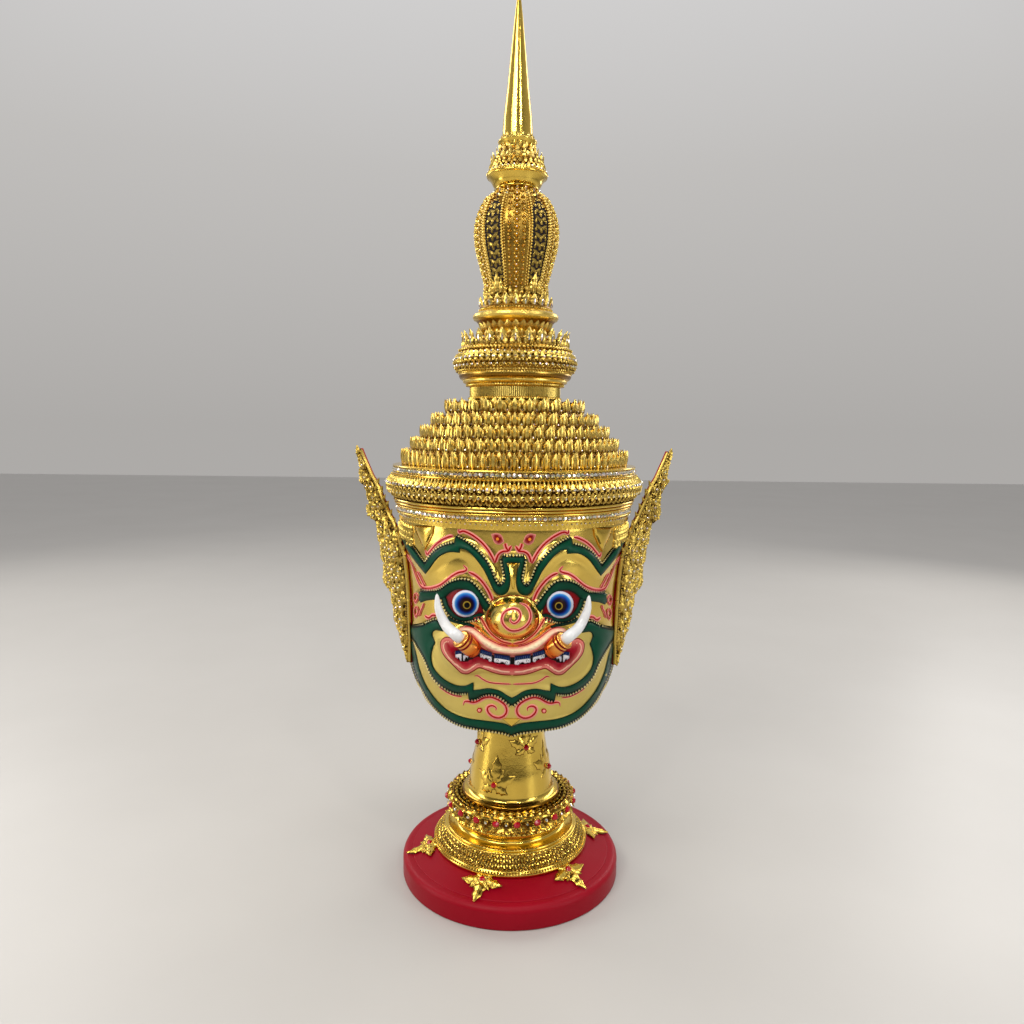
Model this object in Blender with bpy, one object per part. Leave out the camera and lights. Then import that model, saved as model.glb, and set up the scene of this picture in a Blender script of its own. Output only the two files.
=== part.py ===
"""A traditional ogre dance mask with a tall gilt crown, resting on its turned stand.

Metres, +Z up. The origin is the middle of the base's underside and the face looks along -Y.
"""

import math

import bmesh
import bpy
import numpy as np

MM = 0.001
FIT = 0.3 * MM  # gap that neighbouring pieces keep

# Round wooden base
BASE_RADIUS = 110.3 * MM
BASE_HEIGHT = 30.0 * MM
BASE_SIDE = 16.0 * MM
BASE_SHOULDER = 6.5 * MM
BASE_STEP_RADIUS = 99.8 * MM
BASE_STEP = 0.8 * MM
BASE_SLOPE = 8.0 * MM

# Gilt stand
FLANGE_RADIUS = 77.6 * MM
STAND_HEIGHT = 418.0 * MM
COLUMN_RADIUS = 26.0 * MM
PAD_RADIUS = 40.0 * MM
PAD_THICKNESS = 10.0 * MM

# Leaf ornaments around the flange
LEAF_COUNT = 6
LEAF_LENGTH = 26.0 * MM
LEAF_WIDTH = 30.0 * MM
LEAF_THICKNESS = 2.6 * MM
LEAF_TURN = math.radians(-18.0)
GEM_RADIUS = 3.0 * MM

# Helmet of the mask
WALL = 4.0 * MM
DOME_RADIUS = 111.5 * MM
DOME_FOOT = 181.0 * MM
DOME_RISE = 88.0 * MM
RIM_RISE = 11.0 * MM
CHIN_DROP = 4.0 * MM
SECTION_POWER = 2.2
FACE_TRIANGLES = 2900
DOME_SIDES = 32

# Crown shell
CROWN_FOOT = 182.0 * MM
CROWN_HEIGHT = 114.0 * MM
CROWN_LEAVES = 18
TIER_COUNT = 5

# Finial
SPIRE_LENGTH = 379.0 * MM
SPIRE_RADIUS = 60.6 * MM
SPIRE_LEAVES = 12

# Ears and tusks
EAR_THICKNESS = 3.6 * MM
FERRULE_RADIUS = 8.0 * MM
FERRULE_LENGTH = 15.0 * MM
TUSK_RADIUS = 4.6 * MM

# The face's relief ends a little before the ears' front edges
RELIEF_MARGIN = math.radians(2.0)
RELIEF_FADE = math.radians(4.0)

# The face is drawn on an upright sheet in front of the mask and seen from one viewing point.
SHEET_DEPTH = 110.0 * MM
VIEW_DISTANCE = 760.0 * MM
VIEW_HEIGHT = 270.0 * MM

# Heights that the stack of pieces gives
STAND_FOOT = BASE_HEIGHT + FIT
PAD_TOP = STAND_FOOT + STAND_HEIGHT
RIM_Z = PAD_TOP + FIT + WALL - DOME_FOOT - DOME_RISE
CROWN_TOP = RIM_Z + CROWN_FOOT + CROWN_HEIGHT
SPIRE_FOOT = CROWN_TOP + FIT

GOLD = ((0.80, 0.52, 0.14), 0.22, 1.0)
RED_PAINT = ((0.38, 0.008, 0.02), 0.42, 0.0)
TUSK_WHITE = ((0.86, 0.85, 0.80), 0.25, 0.0)


def material(name, finish):
    colour, roughness, metallic = finish
    made = bpy.data.materials.new(name)
    made.use_nodes = True
    shader = made.node_tree.nodes["Principled BSDF"]
    shader.inputs["Base Color"].default_value = (*colour, 1.0)
    shader.inputs["Roughness"].default_value = roughness
    shader.inputs["Metallic"].default_value = metallic
    return made


def add_object(name, points, faces, finish, smooth=True):
    mesh = bpy.data.meshes.new(name)
    mesh.from_pydata([tuple(map(float, point)) for point in points], [], faces)
    work = bmesh.new()
    work.from_mesh(mesh)
    bmesh.ops.recalc_face_normals(work, faces=work.faces[:])
    work.to_mesh(mesh)
    work.free()
    if smooth:
        mesh.shade_smooth()
        mesh.set_sharp_from_angle(angle=math.radians(35))
    made = bpy.data.objects.new(name, mesh)
    made.data.materials.append(material(name, finish))
    bpy.context.scene.collection.objects.link(made)
    return made


def closed_rings(rings):
    """Points and faces of a closed surface through rings, which starts and ends with a single point.
    Rings with different numbers of points are joined by triangles that follow both."""
    points = []
    starts = []
    for ring in rings:
        starts.append(len(points))
        points.extend(ring)
    faces = []
    for k in range(len(rings) - 1):
        low, high = starts[k], starts[k + 1]
        here, there = len(rings[k]), len(rings[k + 1])
        if here == there:
            for i in range(here):
                j = (i + 1) % here
                faces.append((low + i, low + j, high + j, high + i))
        elif here == 1 or there == 1:
            for i in range(max(here, there)):
                j = (i + 1) % max(here, there)
                faces.append((low, high + j, high + i) if here == 1 else (low + i, low + j, high))
        else:
            faces.extend(joined_unlike(rings[k], rings[k + 1], low, high))
    return points, faces


def joined_unlike(ring, other, low, high):
    """Triangles between two rings around the axis that start at the same side."""
    turns = [ring_turns(ring), ring_turns(other)]
    faces = []
    i = j = 0
    while i < len(ring) or j < len(other):
        a, b = low + i % len(ring), high + j % len(other)
        if j == len(other) or (i < len(ring) and turns[0][i + 1] <= turns[1][j + 1]):
            i += 1
            faces.append((a, low + i % len(ring), b))
        else:
            j += 1
            faces.append((a, high + j % len(other), b))
    return faces


def ring_turns(ring):
    """How far round the axis each point of a ring is, and the first one again after a full turn."""
    angles = np.unwrap([math.atan2(point[1], point[0]) for point in ring])
    turns = np.abs(angles - angles[0])
    return np.append(turns, 2 * math.pi)


def turned(name, outline, segments, finish, foot=0.0):
    """Solid turned about the Z axis. The outline runs from the axis round to the axis, as radius,
    height and, where a row of leaves stands, how far every second point rises and swells."""
    rings = [[(0.0, 0.0, foot + outline[0][1])]]
    for row in outline[1:-1]:
        radius, height = row[:2]
        rise, swell = row[2:] if len(row) == 4 else (0.0, 0.0)
        ring = []
        for i in range(segments):
            angle = 2 * math.pi * i / segments
            leaf = i % 2
            far = radius + swell * leaf
            ring.append((far * math.cos(angle), far * math.sin(angle), foot + height + rise * leaf))
        rings.append(ring)
    rings.append([(0.0, 0.0, foot + outline[-1][1])])
    points, faces = closed_rings(rings)
    return add_object(name, points, faces, finish)


def smooth_through(stations, steps):
    """Catmull-Rom curve through the stations, as an array of points."""
    rows = np.array(stations, float)
    padded = np.vstack([2 * rows[0] - rows[1], rows, 2 * rows[-1] - rows[-2]])
    out = []
    for i in range(len(rows) - 1):
        a, b, c, d = padded[i : i + 4]
        for t in np.arange(steps) / steps:
            out.append(
                0.5 * (2 * b + (c - a) * t + (2 * a - 5 * b + 4 * c - d) * t**2 + (3 * b - a - 3 * c + d) * t**3)
            )
    out.append(rows[-1])
    return np.array(out)


# Helmet sections as shares of the dome: height over the rim, half width, depth in front and behind
HELMET_SECTIONS = smooth_through(
    (
        (-0.05, 0.735, 0.865, 0.730),
        (0.00, 0.753, 0.879, 0.753),
        (0.17, 0.825, 0.933, 0.852),
        (0.26, 0.861, 0.951, 0.888),
        (0.44, 0.901, 0.973, 0.933),
        (0.65, 0.930, 0.985, 0.962),
        (0.84, 0.975, 0.995, 0.985),
        (1.00, 1.000, 1.000, 1.000),
    ),
    8,
)


def helmet_half_axes(height):
    """Half width, front depth and back depth of the helmet at a height over its rim."""
    share = np.asarray(height) / DOME_FOOT
    half = [np.interp(share, HELMET_SECTIONS[:, 0], HELMET_SECTIONS[:, k]) * DOME_RADIUS for k in (1, 2, 3)]
    climb = np.clip((np.asarray(height) - DOME_FOOT) / DOME_RISE, 0.0, 1.0)
    dome = np.sqrt(1.0 - climb**2)
    return [axis * dome for axis in half]


def section_power(height):
    """Power of the rounded section, which becomes a true circle at the dome's foot."""
    near = np.clip((np.asarray(height) / DOME_FOOT - 0.6) / 0.4, 0.0, 1.0)
    return SECTION_POWER + (2.0 - SECTION_POWER) * near


def helmet_radius(angle, height):
    """Distance of the helmet's wall from the axis. The angle is 0 at the nose and grows to +X."""
    width, front, back = helmet_half_axes(height)
    power = section_power(height)
    depth = np.where(np.cos(angle) > 0, front, back)
    across = (np.abs(np.sin(angle)) / np.maximum(width, 1e-9)) ** power
    along = (np.abs(np.cos(angle)) / np.maximum(depth, 1e-9)) ** power
    return (across + along) ** (-1 / power)


def rim_height(angle):
    """The rim drops to a point under the chin and rises at the sides and the nape."""
    side = (1 - np.cos(np.clip(np.abs(angle), 0, math.pi / 2) * 2)) / 2
    chin = np.exp(-((angle / math.radians(5.0)) ** 2))
    return RIM_RISE * side - CHIN_DROP * chin


def on_sheet(x, y, height):
    """Where the drawing shows a point of the face, in metres beside and above the middle of the rim."""
    share = (VIEW_DISTANCE - SHEET_DEPTH) / (VIEW_DISTANCE + y)
    return x * share, VIEW_HEIGHT + (height - VIEW_HEIGHT) * share


def face_point(across, up, lift=0.0):
    """The point of the helmet's front that the drawing shows there, lifted straight out."""
    y = -SHEET_DEPTH
    for _ in range(25):
        share = (VIEW_DISTANCE + y) / (VIEW_DISTANCE - SHEET_DEPTH)
        x = across * share
        height = VIEW_HEIGHT + (up - VIEW_HEIGHT) * share
        width, front, _ = helmet_half_axes(height)
        power = section_power(height)
        inside = max(0.0, 1 - (abs(x) / width) ** power)
        y = 0.5 * y - 0.5 * (front * inside ** (1 / power) + lift)
    return np.array([x, y, RIM_Z + height])


# Bands of the drawing: across, up and half width in millimetres, for the side at +X
BROW_OUTER = ((98, 178, 1.5), (87.5, 161, 3.5), (75, 148, 4.5))
BROW_MIDDLE = ((75, 148, 4.5), (63, 160.5, 4.8), (48, 170, 6.0))
BROW_INNER = (
    (48, 170, 6.0),
    (37, 165, 5.5),
    (28.5, 157.5, 5.2),
    (21, 146, 5.0),
    (16, 135, 5.0),
    (10.5, 130.5, 5.0),
    (5.5, 135, 3.4),
    (4.5, 144, 3.0),
    (7, 152, 3.0),
    (8, 157, 3.2),
)
BROW_BRIDGE = ((8, 157.5, 3.2), (0, 157.5, 3.2))
EYELID = ((80, 127, 3.0), (64, 128, 3.6), (54, 135, 4.0), (42, 138, 4.0), (30, 132, 4.0), (22, 118, 3.5), (24, 110, 2.5))
LOWER_LID = ((62, 124, 2.5), (56, 113, 3.5), (46, 105, 4.0), (34, 104, 2.5))
CHEEK_TOP = ((90, 96, 3.5), (76, 96, 6.0), (60, 100, 4.0), (46, 100, 3.0), (34, 99, 2.5))
CHEEK_SIDE = ((80, 92, 8.0), (78, 78, 5.5), (72, 62, 4.5), (58, 50, 4.0), (46, 46, 4.0), (34, 46, 3.5))
CHIN_BAND = ((40, 37, 4.0), (33, 41, 4.2), (22, 42, 4.2), (10, 39.5, 4.2), (0, 33, 4.5))
JAW_BAND = (
    (89, 106, 2.5),
    (86, 88, 3.5),
    (84, 72, 4.0),
    (79, 54, 4.2),
    (72.5, 36, 4.4),
    (63, 22.5, 4.6),
    (50, 14, 4.8),
    (36, 10, 4.8),
    (20, 8, 4.8),
    (7, 6.5, 4.8),
    (0, 4, 5.0),
)
UPPER_LIP = ((43, 95, 4.0), (35, 92.5, 6.5), (26, 84.5, 5.0), (14, 77.5, 3.6), (0, 75, 3.4))
LOWER_LIP = ((61, 84, 3.0), (54, 70, 4.0), (45, 62, 4.0), (34, 61.5, 3.5), (24, 63, 3.0), (12, 60.5, 3.2), (0, 59.5, 3.2))
NOSE_FOLD = ((31, 103, 4.5), (24, 94, 3.5), (14, 87.5, 3.5), (0, 84.5, 3.5))

# Bands with their height over the face
BANDS = (
    (BROW_OUTER, 3.0),
    (BROW_MIDDLE, 3.2),
    (BROW_INNER, 3.4),
    (BROW_BRIDGE, 3.4),
    (EYELID, 2.6),
    (LOWER_LID, 2.2),
    (CHEEK_TOP, 2.2),
    (CHEEK_SIDE, 2.4),
    (CHIN_BAND, 2.6),
    (JAW_BAND, 2.8),
    (UPPER_LIP, 4.0),
    (LOWER_LIP, 3.6),
    (NOSE_FOLD, 3.0),
)
# Rounded forms: centre across and up, half width, half height and how far they stand out
MOUNDS = (
    (0, 72, 62, 40, 9.0),
    (52, 72, 30, 30, 5.0),
    (0, 22, 34, 22, 5.0),
    (0, 106, 22, 18, 17.0),
    (0, 134, 14, 26, 6.0),
    (31, 104, 7, 7, 4.0),
    (45, 152, 34, 20, 5.0),
    (16, 25, 9, 8, 1.5),
)
EYE = (40.5, 119, 13.0, 12.5, 7.5)
MOUTH = ((0, 68.5, 29, 5.5), (42.5, 70.5, 8, 6.0))
MOUTH_DEPTH = 2.6


# Upright sections of an ear: height over the rim, then front edge and back edge as across and depth,
# all in millimetres for the side at +X of a dome with EAR_DOME's radius
EAR_DOME = 111.5
EAR_SECTIONS = (
    (247, 155.5, 26, 157, 29),
    (237, 149.5, 16, 158, 30),
    (222, 141, 6, 154, 26),
    (211, 133, -2, 157, 32),
    (207, 131, -4, 149, 23),
    (198, 127.5, -6, 148, 24),
    (186, 122, -8, 147, 27),
    (178, 117, -12, 151, 35),
    (171, 113.5, -17, 138, 20),
    (162, 108, -32, 136, 17),
    (150, 100.5, -47, 134, 15),
    (128, 98.5, -45, 130, 12),
    (109, 97.5, -45, 127, 8),
    (103, 97, -45, 119, -4),
    (80, 95.5, -40, 115, -8),
    (62, 94.5, -36, 107, -18),
    (41, 96, -31, 98.5, -28),
)


def ear_edge_angle(height):
    """How far round from the nose the ear's front edge stands at a height over the rim."""
    rows = np.array(EAR_SECTIONS, float)[::-1]
    angles = np.arctan2(rows[:, 1], -rows[:, 2])
    return np.interp(np.asarray(height) / MM, rows[:, 0], angles)


def band_height(across, up, stations, height):
    curve = smooth_through(stations, 6)
    best = np.zeros_like(across)
    for a, b in zip(curve[:-1], curve[1:]):
        run = b[:2] - a[:2]
        share = ((across - a[0]) * run[0] + (up - a[1]) * run[1]) / (run @ run)
        share = np.clip(share, 0, 1)
        away = np.hypot(across - a[0] - share * run[0], up - a[1] - share * run[1])
        reach = a[2] + share * (b[2] - a[2])
        best = np.maximum(best, np.sqrt(np.clip(1 - (away / reach) ** 2, 0, 1)))
    return best * height


def face_relief(across, up):
    """How far the face stands out of the plain helmet, in metres, at places of the drawing."""
    side, level = np.abs(across) / MM, up / MM
    out = np.zeros_like(side)
    for u, v, wide, tall, height in MOUNDS:
        away = ((side - u) / wide) ** 2 + ((level - v) / tall) ** 2
        out += height * np.clip(1 - away, 0, 1) ** 0.75
    u, v, wide, tall, height = EYE
    away = ((side - u) / wide) ** 2 + ((level - v) / tall) ** 2
    out = np.maximum(out, height * np.sqrt(np.clip(1 - away, 0, 1)))
    bands = np.zeros_like(side)
    for stations, height in BANDS:
        bands = np.maximum(bands, band_height(side, level, stations, height))
    out += bands
    for u, v, wide, tall in MOUTH:
        away = ((side - u) / wide) ** 4 + ((level - v) / tall) ** 4
        out -= MOUTH_DEPTH * np.clip(1 - away, 0, 1)
    return out * MM


def helmet_rings(angles, rows, inset, top):
    """Rings of the helmet from its rim up to just under the dome's top, with the face on the outer ones."""
    rings = []
    for share in rows:
        low = rim_height(angles)
        height = low + share * (top - low)
        radius = helmet_radius(angles, height) - inset
        x, y = radius * np.sin(angles), -radius * np.cos(angles)
        if not inset:
            across, up = on_sheet(x, y, height)
            facing = np.clip((ear_edge_angle(height) - RELIEF_MARGIN - np.abs(angles)) / RELIEF_FADE, 0, 1)
            crown_edge = np.clip((DOME_FOOT - height) / (4.0 * MM), 0, 1)
            out = face_relief(across, up) * facing * crown_edge
            x, y = x + out * np.sin(angles), y - out * np.cos(angles)
        rings.append([(a, b, RIM_Z + c) for a, b, c in zip(x, y, height)])
    return rings


def ferrule(side):
    """Short banded tube at the corner of the mouth that holds a tusk."""
    start, way = tusk_seat(side)
    shape = ((-6.0 * MM, 0.82), (2.0 * MM, 0.96), (0.45 * FERRULE_LENGTH, 1.0), (FERRULE_LENGTH, 0.86))
    rings = [[start + way * shape[0][0]]]
    for along, share in shape:
        rings.append(circle(start + way * along, way, FERRULE_RADIUS * share, 12))
    rings.append([start + way * FERRULE_LENGTH])
    points, faces = closed_rings(rings)
    made = add_object(f"ferrule_{'right' if side > 0 else 'left'}", points, faces, GOLD)
    made.hide_render = True
    made.display_type = "WIRE"
    return made


def circle(centre, way, radius, count):
    """Points of a circle square to the way."""
    across = np.cross(way, (0.0, 0.0, 1.0))
    across /= np.linalg.norm(across)
    up = np.cross(across, way)
    turns = 2 * math.pi * np.arange(count) / count
    return [centre + radius * (math.cos(t) * across + math.sin(t) * up) for t in turns]


def tusk_seat(side):
    """Where a ferrule starts on the face, and the way it points."""
    start = face_point(side * 35.5 * MM, 79.5 * MM, 12.0 * MM)
    way = np.array([side * 0.62, -0.42, 0.66])
    return start, way / np.linalg.norm(way)


def dome_latitudes():
    """Turns above the dome's foot of the rings that both the helmet and what fits it are built on. The
    last is where the stand's pad ends."""
    last = math.acos(PAD_RADIUS / (DOME_RADIUS - WALL))
    return [last * share for share in (0.33, 0.67, 1.0)]


def dome_profile(inset):
    """Radius and height over the rim of those rings, for the outside or for a surface set in from it."""
    return [
        ((DOME_RADIUS - inset) * math.cos(turn), DOME_FOOT + (DOME_RISE - inset) * math.sin(turn))
        for turn in dome_latitudes()
    ]


def helmet_angles(count, turn=2 * math.pi):
    return np.arange(count) * turn / count


def mask():
    """Hollow helmet: the face is drawn finely and then thinned out to few faces where it is smooth."""
    face_columns = np.radians(np.linspace(0, 84, 58))
    nape_columns = np.radians(np.linspace(84, 276, 30))[1:-1]
    columns = np.concatenate([face_columns, nape_columns, 2 * math.pi - face_columns[:0:-1]])
    signed = np.where(columns > math.pi, columns - 2 * math.pi, columns)
    plain = helmet_angles(DOME_SIDES)
    plain_signed = np.where(plain > math.pi, plain - 2 * math.pi, plain)
    outside = helmet_rings(signed, np.linspace(0, 1, 92), 0.0, DOME_FOOT)
    inside = helmet_rings(plain_signed, np.linspace(0, 1, 7), WALL, DOME_FOOT)
    domes = []
    for inset in (WALL, 0.0):
        rings = []
        for radius, height in dome_profile(inset):
            rings.append([(radius * math.sin(a), -radius * math.cos(a), RIM_Z + height) for a in plain])
        domes.append(rings)
    apex = RIM_Z + DOME_FOOT + DOME_RISE
    rings = [[(0.0, 0.0, apex - WALL)]] + domes[0][::-1] + inside[::-1]
    first = sum(len(ring) for ring in rings)
    rings += outside + domes[1] + [[(0.0, 0.0, apex)]]
    points, faces = closed_rings(rings)
    made = add_object("mask", points, faces, GOLD)
    group = made.vertex_groups.new(name="face")
    group.add(list(range(first + len(columns), first + len(columns) * (len(outside) - 1))), 1.0, "REPLACE")
    thin = made.modifiers.new("fewer_faces", "DECIMATE")
    thin.ratio = FACE_TRIANGLES / (2 * len(faces))
    thin.vertex_group = "face"
    for side in (-1, 1):
        joined = made.modifiers.new("ferrule", "BOOLEAN")
        joined.operation = "UNION"
        joined.object = ferrule(side)
    return made


def tusk(side):
    """Curved tusk whose flat root stands on the ferrule's end."""
    start, way = tusk_seat(side)
    root = start + way * (FERRULE_LENGTH + FIT)
    middle = face_point(side * 57.5 * MM, 99.0 * MM, 17.0 * MM)
    bend = face_point(side * 64.0 * MM, 113.0 * MM, 17.0 * MM)
    tip = face_point(side * 65.5 * MM, 127.0 * MM, 16.0 * MM)
    path = smooth_through((root, root + way * 6 * MM, middle, bend, tip), 2)
    shares = np.linspace(0, 1, len(path))
    rings = [[path[0]]]
    for i, (point, share) in enumerate(zip(path[:-1], shares)):
        ahead = path[i + 1] - path[max(i - 1, 0)]
        ahead = way if i == 0 else ahead / np.linalg.norm(ahead)
        rings.append(circle(point, ahead, TUSK_RADIUS * math.sqrt(1 - share**2.2), 10))
    rings.append([path[-1]])
    points, faces = closed_rings(rings)
    return add_object(f"tusk_{'right' if side > 0 else 'left'}", points, faces, TUSK_WHITE)


EAR_SEAT_LOW = 60.0 * MM
EAR_SEAT_HIGH = 172.0 * MM


def ear(side):
    """Flame-shaped plate, thick along its middle, whose front edge is seated on the helmet's wall."""
    rings = []
    spread = DOME_RADIUS / EAR_DOME
    for height, front_x, front_y, back_x, back_y in EAR_SECTIONS:
        level = height * MM
        front = np.array([front_x, front_y]) * spread
        back = np.array([back_x, back_y]) * spread
        run = back - front
        out = np.array([run[1], -run[0]]) / np.linalg.norm(run)
        half = 0.5 * EAR_THICKNESS * min(1.0, np.linalg.norm(run) / (16 * MM))
        seat = front - out * half
        if EAR_SEAT_LOW <= level <= EAR_SEAT_HIGH:
            turn = math.atan2(seat[0], -seat[1])
            seat = (helmet_radius(turn, level) + FIT + 0.1 * MM) * np.array([math.sin(turn), -math.cos(turn)])
        ring = [
            seat,
            front + 0.25 * run - out * half,
            front + 0.62 * run - out * half,
            back,
            front + 0.62 * run + out * half,
            front + 0.25 * run + out * half * 1.5,
            front + out * half * 0.5,
        ]
        rings.append([(side * x, y, RIM_Z + level) for x, y in ring])
    top = np.mean(rings[0], axis=0) + (side * 0.6 * MM, 1.2 * MM, 1.5 * MM)
    low = np.mean(rings[-1], axis=0) - (0, 0, 1.5 * MM)
    points, faces = closed_rings([[tuple(top)]] + rings + [[tuple(low)]])
    return add_object(f"ear_{'right' if side > 0 else 'left'}", points, faces, GOLD)


def base_disc():
    edge = BASE_RADIUS
    outline = [(0, 0), (edge - 1.5 * MM, 0), (edge, 1.5 * MM), (edge, BASE_SIDE)]
    for turn in (0.33, 0.66, 1.0):
        angle = turn * math.pi / 2
        inset = BASE_SHOULDER * (1 - math.cos(angle))
        outline.append((edge - inset, BASE_SIDE + (BASE_HEIGHT - BASE_SLOPE - BASE_SIDE) * math.sin(angle)))
    outline += [
        (BASE_STEP_RADIUS, BASE_HEIGHT - BASE_SLOPE),
        (BASE_STEP_RADIUS - 1 * MM, BASE_HEIGHT - BASE_SLOPE + BASE_STEP),
        (FLANGE_RADIUS, BASE_HEIGHT),
        (0, BASE_HEIGHT),
    ]
    return turned("base_disc", outline, 36, RED_PAINT)


def stand():
    apex = STAND_HEIGHT
    pad_drop = (DOME_RISE - WALL) * (1 - math.sin(dome_latitudes()[-1]))
    pad_edge = PAD_RADIUS * math.cos(math.pi / DOME_SIDES)
    # Radius and height over the base, in millimetres, of flange, collar and bell
    flange = ((77.6, 0), (77.6, 5), (75, 9.5), (66, 18.5), (62.5, 20.3), (56, 20.0))
    collar = ((55.5, 24), (58.6, 28.5), (59.5, 35), (63.7, 47), (60, 53.5), (49.5, 54), (47.2, 57.5), (43.6, 59.5))
    bell = ((42.9, 61), (41.6, 72), (39.1, 85), (36.5, 98), (34.5, 110), (31, 135))
    outline = [(0, 0)]
    outline += [(r * FLANGE_RADIUS / 77.6, h * MM) for r, h in flange + collar + bell]
    outline += [(COLUMN_RADIUS, 0.45 * STAND_HEIGHT), (COLUMN_RADIUS, apex - 4 * PAD_THICKNESS)]
    outline += [(pad_edge, apex - pad_drop - PAD_THICKNESS), (pad_edge, apex - pad_drop), (0, apex)]
    return turned("stand", outline, 24, GOLD, STAND_FOOT)


def leaf_outline():
    """Half outline of a trefoil leaf: along and across as shares of its length and width."""
    return (
        (0.00, 0.16),
        (0.10, 0.30),
        (0.18, 0.50),
        (0.30, 0.48),
        (0.38, 0.30),
        (0.50, 0.36),
        (0.60, 0.26),
        (0.72, 0.20),
        (0.86, 0.10),
    )


def foot_leaf(index):
    """Trefoil leaf with a gem boss, lying on the base's sloping top from the flange outwards."""
    start = FLANGE_RADIUS + FIT + 0.3 * MM
    top_slope = math.atan2(BASE_SLOPE - BASE_STEP, BASE_STEP_RADIUS - FLANGE_RADIUS)
    tip_slope = math.atan2(BASE_SLOPE, LEAF_LENGTH + FIT)
    slope = min(top_slope, tip_slope)
    side = [(along * LEAF_LENGTH, across * LEAF_WIDTH) for along, across in leaf_outline()]
    rim = side + [(LEAF_LENGTH, 0.0)] + [(along, -across) for along, across in reversed(side)]
    centre = (0.36 * LEAF_LENGTH, 0.0)
    levels = ((1.0, FIT), (1.0, FIT + 0.6 * LEAF_THICKNESS), (0.55, FIT + LEAF_THICKNESS))
    rings = [[(centre[0], centre[1], FIT)]]
    for share, up in levels:
        rings.append([(centre[0] + share * (a - centre[0]), share * b, up) for a, b in rim])
    turns = [math.atan2(b, a - centre[0]) for a, b in rim]
    gem_top = FIT + 1.5 * LEAF_THICKNESS
    rings.append([(centre[0] + GEM_RADIUS * math.cos(t), GEM_RADIUS * math.sin(t), gem_top) for t in turns])
    rings.append([(centre[0], 0.0, FIT + 1.9 * LEAF_THICKNESS)])
    points, faces = closed_rings(rings)
    made = add_object(f"foot_leaf_{index + 1}", points, faces, GOLD)
    turn = LEAF_TURN + 2 * math.pi * index / LEAF_COUNT - math.pi / 2
    made.location = (start * math.cos(turn), start * math.sin(turn), BASE_HEIGHT)
    made.rotation_euler = (0.0, slope, turn)
    return made


def crown():
    """Shell over the helmet's dome: stone band, wide torus, ledge and tiers of leaves up to its flat top."""
    foot = CROWN_FOOT
    round_out = 1 / math.cos(math.pi / (2 * CROWN_LEAVES))
    inner = [(0.0, DOME_FOOT + DOME_RISE + FIT - foot)]
    for radius, height in reversed(dome_profile(0.0)):
        inner.append((radius * round_out + FIT, height + FIT - foot))
    inner.append((DOME_RADIUS * round_out + FIT, 0.0))
    # Steps of the outer side as radius over the dome's and height over the shell's foot, in millimetres
    bands = (
        (3.0, 0),
        (3.6, 7),
        (4.2, 14),
        (5.9, 20),
        (8.6, 22.5),
        (13.2, 27),
        (14.1, 33),
        (11.5, 40),
        (8.2, 43.8),
        (6.4, 45.5),
        (6.0, 50.5),
        (3.2, 52),
    )
    outline = inner + [(DOME_RADIUS + r * MM, h * MM) for r, h in bands]
    # Tiers from the lowest: radius over the dome's, foot and height of the leaves
    tiers = ((-2.0, 52.5, 14), (-11.0, 66, 9), (-20.5, 77, 10), (-31.0, 88, 12), (-44.5, 102, 12))
    for radius, low, tall in tiers[:TIER_COUNT]:
        far = DOME_RADIUS + radius * MM
        outline.append((far - 3 * MM, low * MM, 0.0, 2.5 * MM))
        outline.append((far - 1.5 * MM, (low + 0.35 * tall) * MM, 0.65 * tall * MM, 0.5 * MM))
        outline.append((far - 7 * MM, (low + 0.3 * tall) * MM))
    outline.append((0.0, CROWN_HEIGHT))
    outline[-2] = (outline[-2][0], CROWN_HEIGHT)
    return turned("crown", outline, 2 * CROWN_LEAVES, GOLD, RIM_Z + foot)


def spire():
    """Finial: ribbed neck, torus, leaf row, leafed foot of the bulb, bulb, lotus cup and long cone."""
    # Radius and height over its foot, drawn 60.6 wide and 379 tall; a row of leaves adds its rise in
    # millimetres
    drawn_radius = 60.6
    outline = (
        (0, 0),
        (44.5, 0),
        (43.7, 4),
        (44.5, 12),
        (48.5, 16),
        (53.3, 22),
        (59.1, 30),
        (drawn_radius, 38),
        (55.6, 46),
        (49, 52, 4, 2),
        (46, 57, 12, 2),
        (40, 57),
        (29, 63),
        (33.9, 69),
        (40.9, 80),
        (35.5, 87),
        (34, 92, 6, 3),
        (27.5, 98, 14, 1.5),
        (29.5, 113),
        (34.7, 132),
        (38.7, 152),
        (38.7, 163),
        (33.3, 181.5),
        (25.2, 192.5),
        (17.6, 198),
        (22.8, 205),
        (28.5, 214),
        (22, 224, 0, 2),
        (18, 230, 6, 2),
        (14.6, 240),
        (13.6, 261),
        (7.3, 320),
        (2.1, 367),
        (0, 379),
    )
    wide = SPIRE_RADIUS / drawn_radius
    tall = SPIRE_LENGTH / outline[-1][1]
    rows = [(row[0] * wide, row[1] * tall, *(value * MM for value in row[2:])) for row in outline]
    return turned("spire", rows, 2 * SPIRE_LEAVES, GOLD, SPIRE_FOOT)


def main():
    for old in list(bpy.data.objects):
        bpy.data.objects.remove(old)
    base_disc()
    stand()
    for index in range(LEAF_COUNT):
        foot_leaf(index)
    mask()
    crown()
    spire()
    for side in (-1, 1):
        ear(side)
        tusk(side)


main()
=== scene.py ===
"""Looks of the ogre dance mask with its tall crown, on a turned stand.

Sizes in the tables are millimetres. The face is drawn on an upright sheet in front of the mask: across
from the middle and up from the rim, for the side at +X, and mirrored.
"""

import math

import bmesh
import bpy
import numpy as np
from mathutils import Matrix, Vector
from mathutils.geometry import delaunay_2d_cdt


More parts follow.
